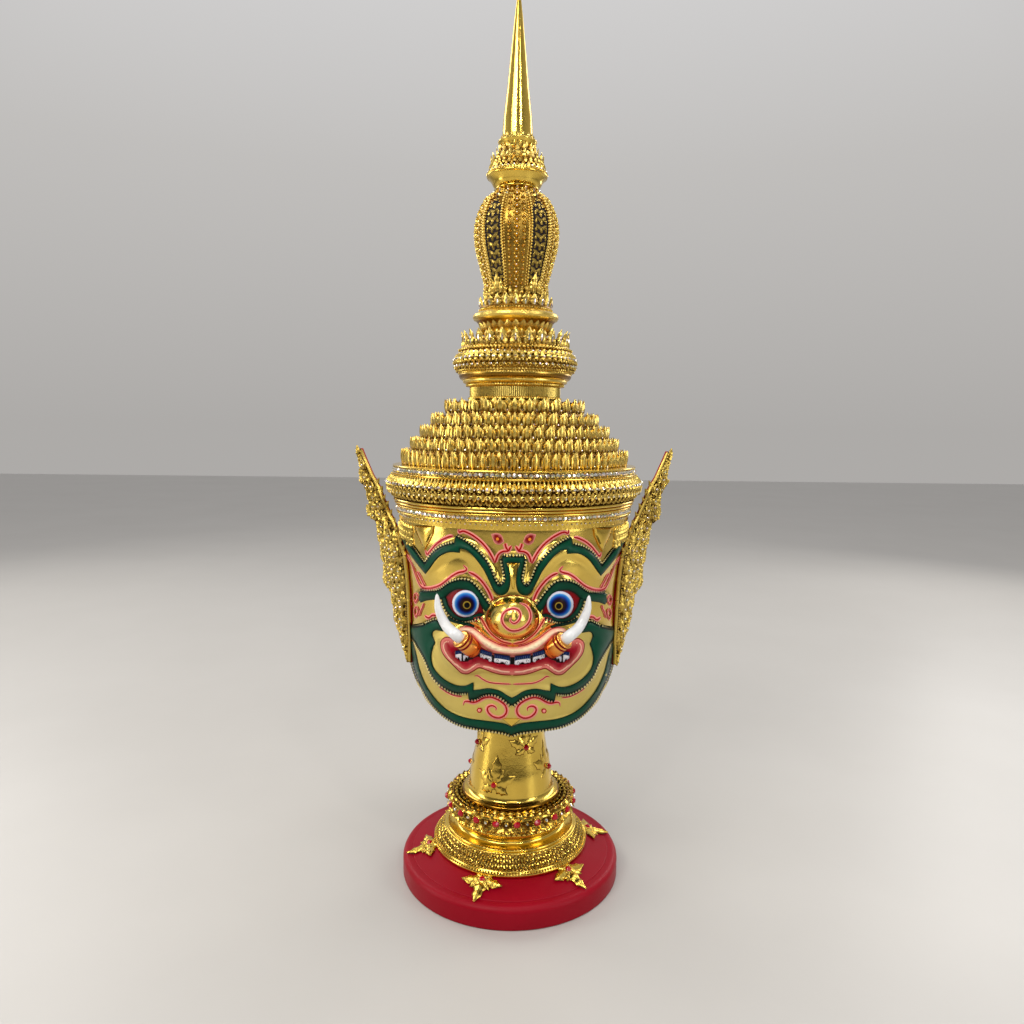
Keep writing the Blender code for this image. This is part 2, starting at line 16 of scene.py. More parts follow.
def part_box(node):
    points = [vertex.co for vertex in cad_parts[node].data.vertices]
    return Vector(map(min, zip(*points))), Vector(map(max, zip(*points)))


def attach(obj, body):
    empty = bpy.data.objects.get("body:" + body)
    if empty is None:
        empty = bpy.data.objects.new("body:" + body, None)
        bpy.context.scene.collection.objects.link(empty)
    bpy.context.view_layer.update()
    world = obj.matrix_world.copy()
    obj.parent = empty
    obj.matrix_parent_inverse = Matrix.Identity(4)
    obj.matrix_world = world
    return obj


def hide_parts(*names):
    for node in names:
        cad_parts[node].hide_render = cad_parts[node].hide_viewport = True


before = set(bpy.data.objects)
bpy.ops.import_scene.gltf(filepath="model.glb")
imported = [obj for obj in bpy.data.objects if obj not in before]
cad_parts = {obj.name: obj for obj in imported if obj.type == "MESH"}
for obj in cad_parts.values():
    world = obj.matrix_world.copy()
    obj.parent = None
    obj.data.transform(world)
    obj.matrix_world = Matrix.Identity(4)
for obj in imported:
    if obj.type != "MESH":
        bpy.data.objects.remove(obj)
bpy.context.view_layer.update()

MM = 0.001
rng = np.random.default_rng(7)

# Driving sizes of the solids
DOME_RADIUS = 111.5
DOME_FOOT = 181.0
DOME_RISE = 88.0
WALL = 4.0
RIM_RISE = 11.0
CHIN_DROP = 4.0
RIM_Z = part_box("mask")[1].z / MM - DOME_FOOT - DOME_RISE
BASE_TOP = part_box("base_disc")[1].z / MM
BASE_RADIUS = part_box("base_disc")[1].x / MM
STAND_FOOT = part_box("stand")[0].z / MM
CROWN_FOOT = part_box("crown")[0].z / MM
SPIRE_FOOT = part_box("spire")[0].z / MM

# The sheet that the face is drawn on, and the point that it is seen from
SHEET_DEPTH = 110.0
VIEW_DISTANCE = 760.0
VIEW_HEIGHT = 270.0
# Depths between which a drawn place lies on the helmet
NEAREST = -165.0
FARTHEST = -6.0


def rgb(red, green, blue):
    """Linear colour of screen values from 0 to 255."""
    return tuple((value / 255.0) ** 2.2 for value in (red, green, blue))


GREEN = rgb(0, 70, 50)
DARK_GREEN = rgb(0, 28, 22)
PINK = rgb(240, 128, 122)
PALE_PINK = rgb(240, 148, 138)
RED = rgb(172, 8, 22)
DEEP_RED = rgb(132, 8, 20)
# Cream of the border beside the fringes: a painted highlight along a gilt ridge
RIDGE_HIGHLIGHT = rgb(250, 232, 160)
BARE = (1.0, 1.0, 1.0)
LEAF_GOLD = rgb(150, 125, 45)
WHITE = rgb(240, 240, 244)
BLACK = rgb(10, 8, 10)
ORANGE = rgb(240, 140, 50)


# Share of its colour that gilt relief keeps in its depths, where painted shade and some dirt darken it
SHADE_IN_DEPTHS = np.array((0.36, 0.25, 0.13))


def painted_relief_shade(points):
    """Painted shade and highlight of a form that faces outwards along its second axis: darker towards its ground
    and its foot, where shade falls, and lighter at its outer face and its top.
    """
    low, high = np.asarray(points, float).min(axis=0), np.asarray(points, float).max(axis=0)
    spread = (np.asarray(points, float) - low) / np.maximum(high - low, 1e-6)
    share = np.clip(1.2 * spread[:, 1:2] + 0.5 * spread[:, 2:3], 0, 1)
    return SHADE_IN_DEPTHS + (1 - SHADE_IN_DEPTHS) * share


def shaded(profile, *spans):
    """Painted shade of a turned body's rows: dark in the spans of height that relief covers, where its ground
    lies in shade.
    """
    dark = np.zeros(len(profile))
    for low, high in spans:
        dark = np.maximum(dark, (profile[:, 1] > low) & (profile[:, 1] < high))
    return 1 - (1 - SHADE_IN_DEPTHS) * dark[:, None]


def circle(count):
    """Angles at even steps all round."""
    return 2 * math.pi * np.arange(count) / count


def about_axis(radius, angle, height):
    """Points about the upright axis. The angle is 0 at the front and grows to +X."""
    x = radius * np.sin(angle)
    return np.stack([x, -radius * np.cos(angle), height + 0 * x], axis=-1)


def swung(points, way):
    """How far points of a form lie across and up when its up side is turned by a way from upwards."""
    across = points[:, 0] * math.cos(way) + points[:, 2] * math.sin(way)
    return across, points[:, 2] * math.cos(way) - points[:, 0] * math.sin(way)


class Shape:
    """Points and faces of one piece over its foot. Each face has the number of its finish, each point a paint
    colour, which on gilt relief is painted shade and highlight."""

    def __init__(self, foot=0.0):
        self.foot = foot
        self.points = []
        self.colours = []
        self.faces = []
        self.finishes = []
        self.count = 0

    def add(self, points, faces, finish=0, colour=(1.0, 1.0, 1.0)):
        points = np.asarray(points, float).reshape(-1, 3)
        self.points.append(points)
        self.colours.append(np.broadcast_to(np.asarray(colour, float), points.shape))
        for block in faces:
            block = np.asarray(block, int)
            if len(block):
                self.faces.append(block + self.count)
                self.finishes.append(np.full(len(block), finish))
        self.count += len(points)

    def lathe(self, profile, segments, finish=0, wave=None, shade=None):
        """A profile turned about the upright axis. A wave adds to the radius by angle, and a shade gives each
        row of the profile its colour, painted shade where relief covers the body."""
        angles = circle(segments)
        radius = profile[:, :1] + (wave(angles) if wave else 0 * angles)
        colour = (1, 1, 1) if shade is None else np.repeat(shade, segments, axis=0)
        faces = grid_faces(len(profile), segments, True)
        self.add(about_axis(radius, angles, profile[:, 1:2] + self.foot), [faces], finish, colour)

    def ring(self, form, count, radius, height, turn=0.0, lean=0.0, size=1.0, finish=0, loose=0.0):
        """Copies of a form around the axis. The form's points are across, outwards and up; it leans out.
        Loose copies are each set a little askew, by about that angle."""
        points, faces = form
        points = np.asarray(points, float) * size
        tilt = lean + loose * rng.normal(size=(count, 1))
        yaw = loose * rng.normal(size=(count, 1))
        across = points[:, 0] * np.cos(yaw) - points[:, 1] * np.sin(yaw)
        deep = points[:, 0] * np.sin(yaw) + points[:, 1] * np.cos(yaw)
        out = deep * np.cos(tilt) + points[:, 2] * np.sin(tilt)
        up = points[:, 2] * np.cos(tilt) - deep * np.sin(tilt)
        angles = turn + circle(count)
        ahead = np.stack([np.sin(angles), -np.cos(angles)], axis=-1)[:, None, :]
        beside = np.stack([np.cos(angles), np.sin(angles)], axis=-1)[:, None, :]
        flat = beside * across[:, :, None] + ahead * (radius + out)[:, :, None]
        places = np.concatenate([flat, (self.foot + height + up)[:, :, None]], axis=-1)
        blocks = [np.vstack([np.asarray(block) + k * len(points) for k in range(count)]) for block in faces]
        # Each copy takes its form's painted shade and highlight: darker at its ground, lighter at its face and
        # top
        self.add(places, blocks, finish, np.tile(painted_relief_shade(points), (count, 1)))

    def build(self, name, node, slot, finishes, crease=35.0):
        """The piece as an object that stands for a node of the solid and takes the given finishes. The slot is
        not used.
        """
        mesh = bpy.data.meshes.new(name)
        points = np.vstack(self.points) * MM
        sizes = np.concatenate([np.full(len(block), block.shape[1]) for block in self.faces])
        corners = np.concatenate([block.ravel() for block in self.faces])
        mesh.vertices.add(len(points))
        mesh.vertices.foreach_set("co", points.ravel())
        mesh.loops.add(len(corners))
        mesh.loops.foreach_set("vertex_index", corners)
        mesh.polygons.add(len(sizes))
        mesh.polygons.foreach_set("loop_start", np.cumsum(sizes) - sizes)
        mesh.polygons.foreach_set("material_index", np.concatenate(self.finishes))
        mesh.update(calc_edges=True)
        mesh.validate()
        colours = np.hstack([np.vstack(self.colours), np.ones((len(points), 1))])
        layer = mesh.color_attributes.new("paint", "FLOAT_COLOR", "POINT")
        layer.data.foreach_set("color", colours.ravel())
        work = bmesh.new()
        work.from_mesh(mesh)
        bmesh.ops.remove_doubles(work, verts=work.verts[:], dist=1e-7)
        bmesh.ops.recalc_face_normals(work, faces=work.faces[:])
        work.to_mesh(mesh)
        work.free()
        mesh.shade_smooth()
        mesh.set_sharp_from_angle(angle=math.radians(crease))
        for finish in finishes:
            mesh.materials.append(finish)
        made = bpy.data.objects.new(name, mesh)
        bpy.context.scene.collection.objects.link(made)
        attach(made, "root")
        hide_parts(node)
        return made


def smooth_through(stations, steps=6):
    """Catmull-Rom curve through the stations."""
    rows = np.array(stations, float)
    padded = np.vstack([2 * rows[0] - rows[1], rows, 2 * rows[-1] - rows[-2]])
    share = (np.arange(steps) / steps)[:, None]
    out = []
    for a, b, c, d in zip(padded[:-3], padded[1:-2], padded[2:-1], padded[3:]):
        cubic = 2 * b + (c - a) * share + (2 * a - 5 * b + 4 * c - d) * share**2
        out.append(0.5 * (cubic + (3 * b - a - 3 * c + d) * share**3))
    return np.vstack(out + [rows[-1:]])


def even_steps(points, pitch, measured=None):
    """The same line with its points at even steps of about the pitch, over its first measured columns."""
    points = np.asarray(points, float)
    run = np.concatenate([[0.0], np.cumsum(np.linalg.norm(np.diff(points[:, :measured], axis=0), axis=1))])
    count = max(2, int(round(run[-1] / pitch)) + 1)
    at = np.linspace(0, run[-1], count)
    return np.column_stack([np.interp(at, run, column) for column in points.T])


def grid_faces(rows, columns, closed=False):
    """Quads of a grid of points that runs row by row, joined round to its first column if closed."""
    here = np.arange(rows * columns).reshape(rows, columns)
    if closed:
        here = np.hstack([here, here[:, :1]])
    return np.stack([here[:-1, :-1], here[:-1, 1:], here[1:, 1:], here[1:, :-1]], axis=-1).reshape(-1, 4)


def moulded(stations, steps=6):
    """Profile of a turned body. Each station is a radius and a height, and may have a bulge: how far the
    stretch to the next one swells out, as a share of half its length, with 1 for a half circle."""
    out = []
    for here, there in zip(stations[:-1], stations[1:]):
        a, b = np.array(here[:2], float), np.array(there[:2], float)
        bulge = here[2] if len(here) > 2 else 0.0
        if not bulge:
            out.append(a)
            continue
        half = (b - a) / 2
        side = np.array([half[1], -half[0]])
        turn = 2 * math.atan(abs(bulge))
        reach = 1 / math.sin(turn)
        for k in range(steps):
            angle = turn * (2 * k / steps - 1)
            along = reach * math.sin(angle)
            away = reach * (math.cos(angle) - math.cos(turn)) * math.copysign(1, bulge)
            out.append(a + half + half * along + side * away)
    out.append(np.array(stations[-1][:2], float))
    return np.array(out)


def ball(rings=5, segments=8):
    """Unit ball with its poles up and down."""
    turns = np.linspace(-math.pi / 2, math.pi / 2, rings + 1)
    angles = circle(segments)
    flat = np.cos(turns)[:, None]
    rise = np.sin(turns)[:, None] + 0 * angles
    points = np.stack([flat * np.cos(angles), flat * np.sin(angles), rise], axis=-1)
    return points.reshape(-1, 3), [grid_faces(rings + 1, segments, True)]


def stone(sides=8, depth=0.8, table=0.55):
    """Cut stone that faces outwards, half as wide as 1."""
    angles = 2 * math.pi * (np.arange(sides) + 0.5) / sides
    rows = ((1.0, -0.6), (1.0, 0.0), (table, depth), (0.0, depth))
    points = [[(r * math.cos(a), y, r * math.sin(a)) for a in angles] for r, y in rows]
    return np.array(points).reshape(-1, 3), [grid_faces(len(rows), sides, True)]


# Height of a leaf's widest place as a share, and how deep the grooves beside its rib are
LEAF_BELLY = 0.35
LEAF_RIDGE = 0.35


def sized(form, size):
    """A form made larger or smaller."""
    points, faces = form
    return points * size, faces


GRAIN = ball(3, 6)
CHIP = stone(6, 0.9, 0.4)


def leaf(width, height, depth, rows, columns, curl=0.0, lobes=0.0, solid=False):
    """Pointed leaf that stands up from 0 and faces outwards. Lobes notch its sides, a curl bends its tip
    outwards, and a solid one has a back."""
    up = np.linspace(0, 1, rows)
    share = np.linspace(-1, 1, columns)
    half = np.sin(math.pi * up ** (math.log(0.5) / math.log(LEAF_BELLY))) ** 0.8
    half = np.maximum(half, (1 - up) * 0.62)
    if lobes:
        half = half * (1 - lobes * np.abs(np.sin(3 * math.pi * up)) * (up > 0.1))
    across = half[:, None] * share * width / 2
    bulge = (1 - np.abs(share) ** 1.5) ** 0.8
    groove = 1 - LEAF_RIDGE * np.exp(-((np.abs(share) - 0.45) / 0.18) ** 2)
    lift = depth * bulge * groove * (half[:, None] * 0.8 + 0.2)
    bend = curl * height * np.clip(up - 0.35, 0, 1)[:, None] ** 2
    front = np.stack([across, lift + bend, up[:, None] * height + 0 * across], axis=-1)
    faces = grid_faces(rows, columns)
    if not solid:
        return front.reshape(-1, 3), [faces]
    back = np.stack([across, bend - 0.25 * depth * bulge, up[:, None] * height + 0 * across], axis=-1)
    points = np.vstack([front.reshape(-1, 3), back.reshape(-1, 3)])
    return points, [faces, faces[:, ::-1] + rows * columns]


# Helmet sections as shares of the dome: height over the rim, half width, depth in front and behind
HELMET_SECTIONS = smooth_through(
    (
        (-0.05, 0.735, 0.865, 0.730),
        (0.00, 0.753, 0.879, 0.753),
        (0.17, 0.825, 0.933, 0.852),
        (0.26, 0.861, 0.951, 0.888),
        (0.44, 0.901, 0.973, 0.933),
        (0.65, 0.930, 0.985, 0.962),
        (0.84, 0.975, 0.995, 0.985),
        (1.00, 1.000, 1.000, 1.000),
    ),
    8,
)


# How far the sides of the jaw swell out of the plain sections, by height over the rim
JOWLS = ((0, 4.6), (20, 5.0), (41, 4.5), (62, 3.2), (80, 1.8), (103, 0.3), (120, 0.0))


def jowl(angle, height):
    """Swelling of the jaw's sides, which fades out before the chin and the nape."""
    away = np.degrees(np.abs(np.arctan2(np.sin(angle), np.cos(angle))))
    near = np.clip(np.minimum((away - 35) / 50, (165 - away) / 65), 0, 1)
    heights, reach = zip(*JOWLS)
    return near**2 * (3 - 2 * near) * np.interp(height, heights, reach)


def helmet_radius(angle, height):
    """Distance of the helmet's wall from the axis. The angle is 0 at the nose and grows to +X."""
    share = np.asarray(height) / DOME_FOOT
    climb = np.clip((np.asarray(height) - DOME_FOOT) / DOME_RISE, 0.0, 1.0)
    dome = np.sqrt(1.0 - climb**2)
    levels, *axes = HELMET_SECTIONS.T
    axes = [np.interp(share, levels, axis) * DOME_RADIUS * dome for axis in axes]
    width, front, back = np.maximum(axes, 1e-6)
    power = 2.2 - 0.2 * np.clip((share - 0.6) / 0.4, 0.0, 1.0)
    depth = np.where(np.cos(angle) > 0, front, back)
    across = (np.abs(np.sin(angle)) / width) ** power
    along = (np.abs(np.cos(angle)) / depth) ** power
    return (across + along) ** (-1 / power) + jowl(angle, height)


def rim_height(angle):
    """The rim drops to a point under the chin and rises at the sides and the nape."""
    side = (1 - np.cos(np.clip(np.abs(angle), 0, math.pi / 2) * 2)) / 2
    return RIM_RISE * side - CHIN_DROP * np.exp(-((angle / math.radians(5.0)) ** 2))


def on_sheet(x, y, height):
    """Where the drawing shows a point: across and up."""
    share = (VIEW_DISTANCE - SHEET_DEPTH) / (VIEW_DISTANCE + y)
    return x * share, VIEW_HEIGHT + (height - VIEW_HEIGHT) * share


# Where the sides of the helmet turn out of sight, and how far a drawn place may stand out beside them
SIDE_ANGLE = math.radians(83)
SIDE_REACH = 7.0


def seen_point(across, up, lift):
    """Points of the mask that the drawing shows there, lifted out from the plain helmet. Places that are
    drawn beside the helmet stand out from its side."""
    across, up = np.asarray(across, float), np.asarray(up, float)
    # Halve the span of depths until only the place itself is left
    near, far = np.full(across.shape, NEAREST), np.full(across.shape, FARTHEST)
    for _ in range(24):
        y = (near + far) / 2
        share = (VIEW_DISTANCE + y) / (VIEW_DISTANCE - SHEET_DEPTH)
        x, height = across * share, VIEW_HEIGHT + (up - VIEW_HEIGHT) * share
        inside = np.hypot(x, y) < helmet_radius(np.arctan2(x, -y), height) + lift
        near, far = np.where(inside, near, y), np.where(inside, y, far)
    beside = np.hypot(x, y) > helmet_radius(np.arctan2(x, -y), height) + lift + 0.05
    radius = np.full(across.shape, 105.0)
    for _ in range(4):
        share = (VIEW_DISTANCE - radius * math.cos(SIDE_ANGLE)) / (VIEW_DISTANCE - SHEET_DEPTH)
        level = VIEW_HEIGHT + (up - VIEW_HEIGHT) * share
        wall = helmet_radius(SIDE_ANGLE, level) + lift
        radius = np.clip(np.abs(across) * share / math.sin(SIDE_ANGLE), wall, wall + SIDE_REACH)
    x = np.where(beside, np.sign(across) * radius * math.sin(SIDE_ANGLE), x)
    y = np.where(beside, -radius * math.cos(SIDE_ANGLE), y)
    return np.stack([x, y, RIM_Z + np.where(beside, level, height)], axis=-1)


# Soft ridges of the face: across, up and half width of their lines, with a height
RIDGES = (
    (((98, 176, 3.0), (87.5, 161, 5.0), (75, 148, 6.5)), 2.6),
    (((75, 148, 6.5), (63, 160.5, 7.5), (48, 168, 8.5)), 3.0),
    (((48, 168, 8.5), (37, 164, 8.5), (28.5, 156, 8.0), (21, 145, 7.5), (12, 131, 6.5)), 3.2),
    (((12, 131, 6.5), (5, 140, 5.0), (6, 157, 5.0), (0, 157.5, 5.0)), 2.6),
    (((80, 126, 4.0), (64, 129, 5.5), (54, 136, 6.0), (42, 139, 6.0), (30, 133, 6.0), (22, 119, 5.0)), 2.4),
    (((62, 123, 4.5), (56, 111, 5.5), (46, 104, 5.5), (34, 103, 4.5)), 2.0),
    (((60, 99, 4.0), (68, 98, 6.0), (78, 93, 8.0), (78, 78, 8.0), (72, 62, 7.0), (60, 50, 6.5),
      (40, 43, 6.5)), 2.0),
    (((40, 40, 6.0), (22, 41, 6.5), (10, 39, 6.5), (0, 33, 7.0)), 2.4),
    (((89, 100, 4.0), (85, 78, 5.0), (79, 54, 6.0), (63, 22.5, 6.5), (36, 11, 6.5), (0, 5, 7.0)), 1.8),
    (((44, 95, 4.0), (36, 93, 7.0), (26, 85, 6.5), (14, 78.5, 5.0), (0, 76, 5.0)), 4.6),
    (((61, 84, 4.0), (56, 70, 5.0), (45, 60.5, 5.0), (34, 60, 5.0), (24, 61, 4.5), (0, 57.5, 4.5)), 2.8),
    (((31, 103, 4.5), (24, 94, 4.0), (14, 87.0, 3.6), (0, 84.5, 3.6)), 2.6),
)
# Rounded forms: across and up of the middle, half width, half height, height and how full the dome is
MOUNDS = (
    (0, 72, 66, 42, 9.0, 1.2),
    (54, 74, 30, 32, 4.5, 1.2),
    (0, 22, 38, 24, 4.5, 1.3),
    (0, 105.6, 21.5, 18.5, 14.0, 0.62),
    (0, 106, 32, 24, 5.0, 1.4),
    (0, 136, 16, 30, 5.0, 1.3),
    (31.6, 103.4, 7, 7, 3.6, 0.8),
    (48, 152, 38, 24, 4.5, 1.3),
    (14, 25, 12, 10, 1.2, 1.0),
    (41.4, 118.8, 18.5, 18.0, 4.0, 1.2),
    (66, 60, 20, 26, 2.5, 1.2),
)
MOUTH_HOLLOWS = ((0, 68.5, 31, 6.5, 3.2), (43.5, 71.5, 8.5, 6.5, 2.6))
EAR_FRONT = ((0, 84), (41, 72), (62, 69), (80, 67), (103, 65.1), (150, 64.9), (162, 73.5), (171, 81.5),
             (182, 83))


def ridge_height(across, up, stations):
    """Share of a ridge's height at places of the drawing."""
    curve = smooth_through(stations, 6)
    best = np.zeros_like(across)
    for a, b in zip(curve[:-1], curve[1:]):
        run = b[:2] - a[:2]
        share = np.clip(((across - a[0]) * run[0] + (up - a[1]) * run[1]) / (run @ run), 0, 1)
        away = np.hypot(across - a[0] - share * run[0], up - a[1] - share * run[1])
        reach = a[2] + share * (b[2] - a[2])
        best = np.maximum(best, np.clip(1 - (away / reach) ** 2, 0, 1) ** 1.15)
    return best


def sculpted(across, up):
    """How far the face stands out of the plain helmet at places of the drawing."""
    across = np.abs(across)
    out = np.zeros_like(across)
    for u, v, wide, tall, height, fullness in MOUNDS:
        away = ((across - u) / wide) ** 2 + ((up - v) / tall) ** 2
        out += height * np.clip(1 - away, 0, 1) ** fullness
    lines = np.zeros_like(across)
    for stations, height in RIDGES:
        lines = np.maximum(lines, height * ridge_height(across, up, stations))
    out += lines
    for u, v, wide, tall, depth in MOUTH_HOLLOWS:
        away = ((across - u) / wide) ** 4 + ((up - v) / tall) ** 4
        out -= depth * np.clip(1.2 - away, 0, 1)
    # The relief sinks into the plain helmet before the ears and under the crown
    plain = seen_point(across, up, 0.0)
    angle = np.degrees(np.arctan2(plain[..., 0], -plain[..., 1]))
    height = plain[..., 2] - RIM_Z
    front = np.array(EAR_FRONT, float)
    beside = np.clip((np.interp(height, front[:, 0], front[:, 1]) - 1.0 - angle) / 5.0, 0, 1)
    beneath = np.clip((DOME_FOOT - 2.0 - height) / 8.0, 0, 1)
    return out * beside * beneath


# The face's relief over a fine grid of the drawing
RELIEF_STEP = 0.5
RELIEF_ACROSS = np.arange(0, 116, RELIEF_STEP)
RELIEF_UP = np.arange(-16, 200, RELIEF_STEP)
RELIEF = sculpted(*np.meshgrid(RELIEF_ACROSS, RELIEF_UP, indexing="ij"))
# How much wider the helmet is than its drawing, where it turns away
PLAIN = seen_point(*np.meshgrid(RELIEF_ACROSS, RELIEF_UP, indexing="ij"), 0.0)
STRETCH = np.clip(np.linalg.norm(np.gradient(PLAIN, RELIEF_STEP, axis=0), axis=-1), 1.0, 3.5)


def read_between(grid, across, up):
    """Value of a fine grid over the drawing, read between its points."""
    u = np.clip(np.abs(across) / RELIEF_STEP, 0, len(RELIEF_ACROSS) - 1.001)
    v = np.clip((np.asarray(up) - RELIEF_UP[0]) / RELIEF_STEP, 0, len(RELIEF_UP) - 1.001)
    i, j = u.astype(int), v.astype(int)
    a, b = u - i, v - j
    low = grid[i, j] * (1 - a) + grid[i + 1, j] * a
    high = grid[i, j + 1] * (1 - a) + grid[i + 1, j + 1] * a
    return low * (1 - b) + high * b


def relief_at(across, up):
    """How far the face stands out there."""
    return read_between(RELIEF, across, up)


def narrowed(flat, offset):
    """Offsets on the drawing, drawn in where the helmet turns away, so that they keep their width on it."""
    stretch = read_between(STRETCH, flat[:, 0], flat[:, 1])
    return offset / np.column_stack([stretch, np.ones(len(flat))])


def face_place(flat, lift):
    """Points on the sculpted face, for rows of across and up with a lift over its surface."""
    flat = np.asarray(flat, float)
    return seen_point(flat[..., 0], flat[..., 1], relief_at(flat[..., 0], flat[..., 1]) + lift)


# Painting


def mirrored(flat):
    """The same places on the other half of the drawing."""
    return np.asarray(flat, float) * (-1, 1)


def normals_of(line):
    """Unit normals to the right of a flat line."""
    ahead = np.gradient(line, axis=0)
    ahead /= np.maximum(np.linalg.norm(ahead, axis=1, keepdims=True), 1e-9)
    return np.column_stack([ahead[:, 1], -ahead[:, 0]])


# Teeth of the fringes along the painted bands: distance and length
TOOTH_PITCH = 3.0
TOOTH_REACH = 2.7


class Painting:
    """Raised enamel work on the face, drawn flat and laid on the sculpted surface, on both sides."""

    def __init__(self):
        self.shape = Shape()

    def lay(self, flat, lift, faces, colour, both=True, finish=0):
        for side in (1, -1) if both else (1,):
            self.shape.add(face_place(flat * (side, 1), lift), faces, finish, colour)

    def line(self, stations, width, height, colour, taper=0.25, base=0.0, both=True, curved=True, finish=0):
        """Rounded cord along a line, thinner towards its ends."""
        path = smooth_through(stations, 8) if curved else np.array(stations, float)
        path = even_steps(path, 0.8)
        side = narrowed(path, normals_of(path))
        share = np.linspace(0, 1, len(path))
        ends = np.minimum(share, 1 - share)
        full = np.clip(ends / max(taper, 1e-6), 0, 1) ** 0.6 * 0.85 + 0.15
        turns = np.radians((0, 35, 70, 110, 145, 180))
        flat, lift = [], []
        for turn in turns:
            flat.append(path + side * (math.cos(turn) * width / 2 * full)[:, None])
            lift.append(base - 0.25 + (height + 0.25) * math.sin(turn) * full)
        faces = grid_faces(len(turns), len(path))
        self.lay(np.concatenate(flat), np.concatenate(lift), [faces], colour, both, finish)

    def dot(self, centre, radius, colour, height, base):
        """Small round drop."""
        points, faces = GRAIN
        self.lay(centre + points[:, :2] * radius, base + points[:, 2] * height, faces, colour)

    def fringe(self, edge):
        """Cream border beside an edge, a painted highlight along a gilt ridge, with a row of dark green teeth
        over it, at even steps on the face.
        """
        edge = even_steps(edge, 0.5)
        edge = even_steps(np.hstack([face_place(edge, 0.0), edge]), TOOTH_PITCH, 3)[:, 3:]
        self.line(edge + normals_of(edge) * 1.0, 1.6, 0.35, RIDGE_HIGHLIGHT, taper=0.02, curved=False)
        middle = (edge[:-1] + edge[1:]) / 2
        along = np.diff(edge, axis=0)
        out = np.column_stack([along[:, 1], -along[:, 0]]) / np.linalg.norm(along, axis=1, keepdims=True)
        out = narrowed(middle, out)
        foot = middle - 0.5 * out
        corners = [foot - 0.40 * along, foot + 0.40 * along, middle + TOOTH_REACH * out]
        flat = np.concatenate(corners + corners)
        count = len(middle)
        lift = np.repeat((-0.3, -0.3, -0.3, 1.3, 1.3, 1.0), count)
        ids = np.arange(count)
        top = np.stack([ids + corner * count for corner in (3, 4, 5)], axis=-1)
        sides = [np.stack([ids + corner * count for corner in (a, b, b + 3, a + 3)], axis=-1)
                 for a, b in ((0, 1), (1, 2), (2, 0))]
        self.lay(flat, lift, [top, np.concatenate(sides)], DARK_GREEN)

    def cord(self, stations, width=4.4, halo=PALE_PINK, core=RED, both=True):
        """Pink cord with a red core."""
        self.line(stations, width, 0.75, halo, taper=0.1, both=both)
        self.line(stations, width * 0.5, 1.15, core, taper=0.1, both=both)

    def patch(self, outline, height, edge, colours, base=0.0, both=True, spacing=2.0, blend=None, finish=0):
        """Raised field inside an outline, rounded off at its edge and coloured from the edge inwards."""
        outline = np.asarray(outline, float)
        keep = np.linalg.norm(outline - np.roll(outline, 1, axis=0), axis=1) > 0.05
        outline = outline[keep]
        low, high = outline.min(0), outline.max(0)
        u, v = np.meshgrid(np.arange(low[0], high[0], spacing), np.arange(low[1], high[1], spacing))
        u = u + (np.arange(len(u))[:, None] % 2) * spacing / 2
        inner = np.column_stack([u.ravel(), v.ravel()])
        inner = inner[inside(inner, outline)]
        away = distance_to(inner, outline)
        inner = inner[away > 0.45 * spacing]
        step = max(0.6, 0.4 * edge)
        rim = inset_points(outline, step)
        rim = rim[inside(rim, outline)]
        rim = rim[distance_to(rim, outline) > 0.7 * step]
        inner = inner[distance_to(inner, outline) > step + 0.3 * spacing]
        inner = np.vstack([thinned(rim, 0.5 * step), inner])
        count = len(outline)
        border = [(i, (i + 1) % count) for i in range(count)]
        flat, _, faces, _, _, _ = delaunay_2d_cdt(
            [Vector(point) for point in np.vstack([outline, inner])], border, [list(range(count))], 1, 1e-5
        )
        flat = np.array([(point.x, point.y) for point in flat])
        away = distance_to(flat, outline)
        away[:count] = 0.0
        full = np.sqrt(np.clip(1 - (1 - np.clip(away / edge, 0, 1)) ** 2, 0, 1))
        lift = base + height * (0.25 + 0.75 * full)
        shade = np.clip(away / (blend or edge), 0, 1)[:, None]
        colour = np.asarray(colours[0]) * (1 - shade) + np.asarray(colours[1]) * shade
        sizes = {len(face) for face in faces}
        blocks = [np.array([face for face in faces if len(face) == size]) for size in sizes]
        # A skirt goes down into the surface all round
        total = len(flat)
        flat = np.vstack([flat, flat[:count]])
        lift = np.concatenate([lift, np.full(count, base - 0.7)])
        colour = np.vstack([colour, colour[:count]])
        ids = np.arange(count)
        after = np.roll(ids, -1)
        blocks.append(np.stack([ids, total + ids, total + after, after], axis=-1))
        self.lay(flat, lift, blocks, colour, both, finish)


def inside(points, outline):
    """Which points lie within a closed outline."""
    a, b = outline, np.roll(outline, -1, axis=0)
    x, y = points[:, :1], points[:, 1:]
    crosses = (a[:, 1] > y) != (b[:, 1] > y)
    rise = np.where(np.abs(b[:, 1] - a[:, 1]) < 1e-12, 1e-12, b[:, 1] - a[:, 1])
    where = a[:, 0] + (y - a[:, 1]) / rise * (b[:, 0] - a[:, 0])
    return (crosses & (x < where)).sum(axis=1) % 2 == 1


def distance_to(points, outline):
    """How far points are from a closed outline."""
    best = np.full(len(points), 1e9)
    for a, b in zip(outline, np.roll(outline, -1, axis=0)):
        run = b - a
        share = np.clip(((points - a) @ run) / max(run @ run, 1e-12), 0, 1)
        best = np.minimum(best, np.linalg.norm(points - a - share[:, None] * run, axis=1))
    return best


def inset_points(outline, step):
    """Points a step away from the outline on both sides."""
    closed = np.vstack([outline, outline[:1]])
    line = even_steps(closed, step)
    side = normals_of(line)
    return np.vstack([line + side * step, line - side * step])


def thinned(points, gap):
    """The points without those that crowd another."""
    seen = {}
    for point in points:
        key = (int(point[0] // gap), int(point[1] // gap))
        seen.setdefault(key, point)
    return np.array(list(seen.values())) if seen else np.zeros((0, 2))


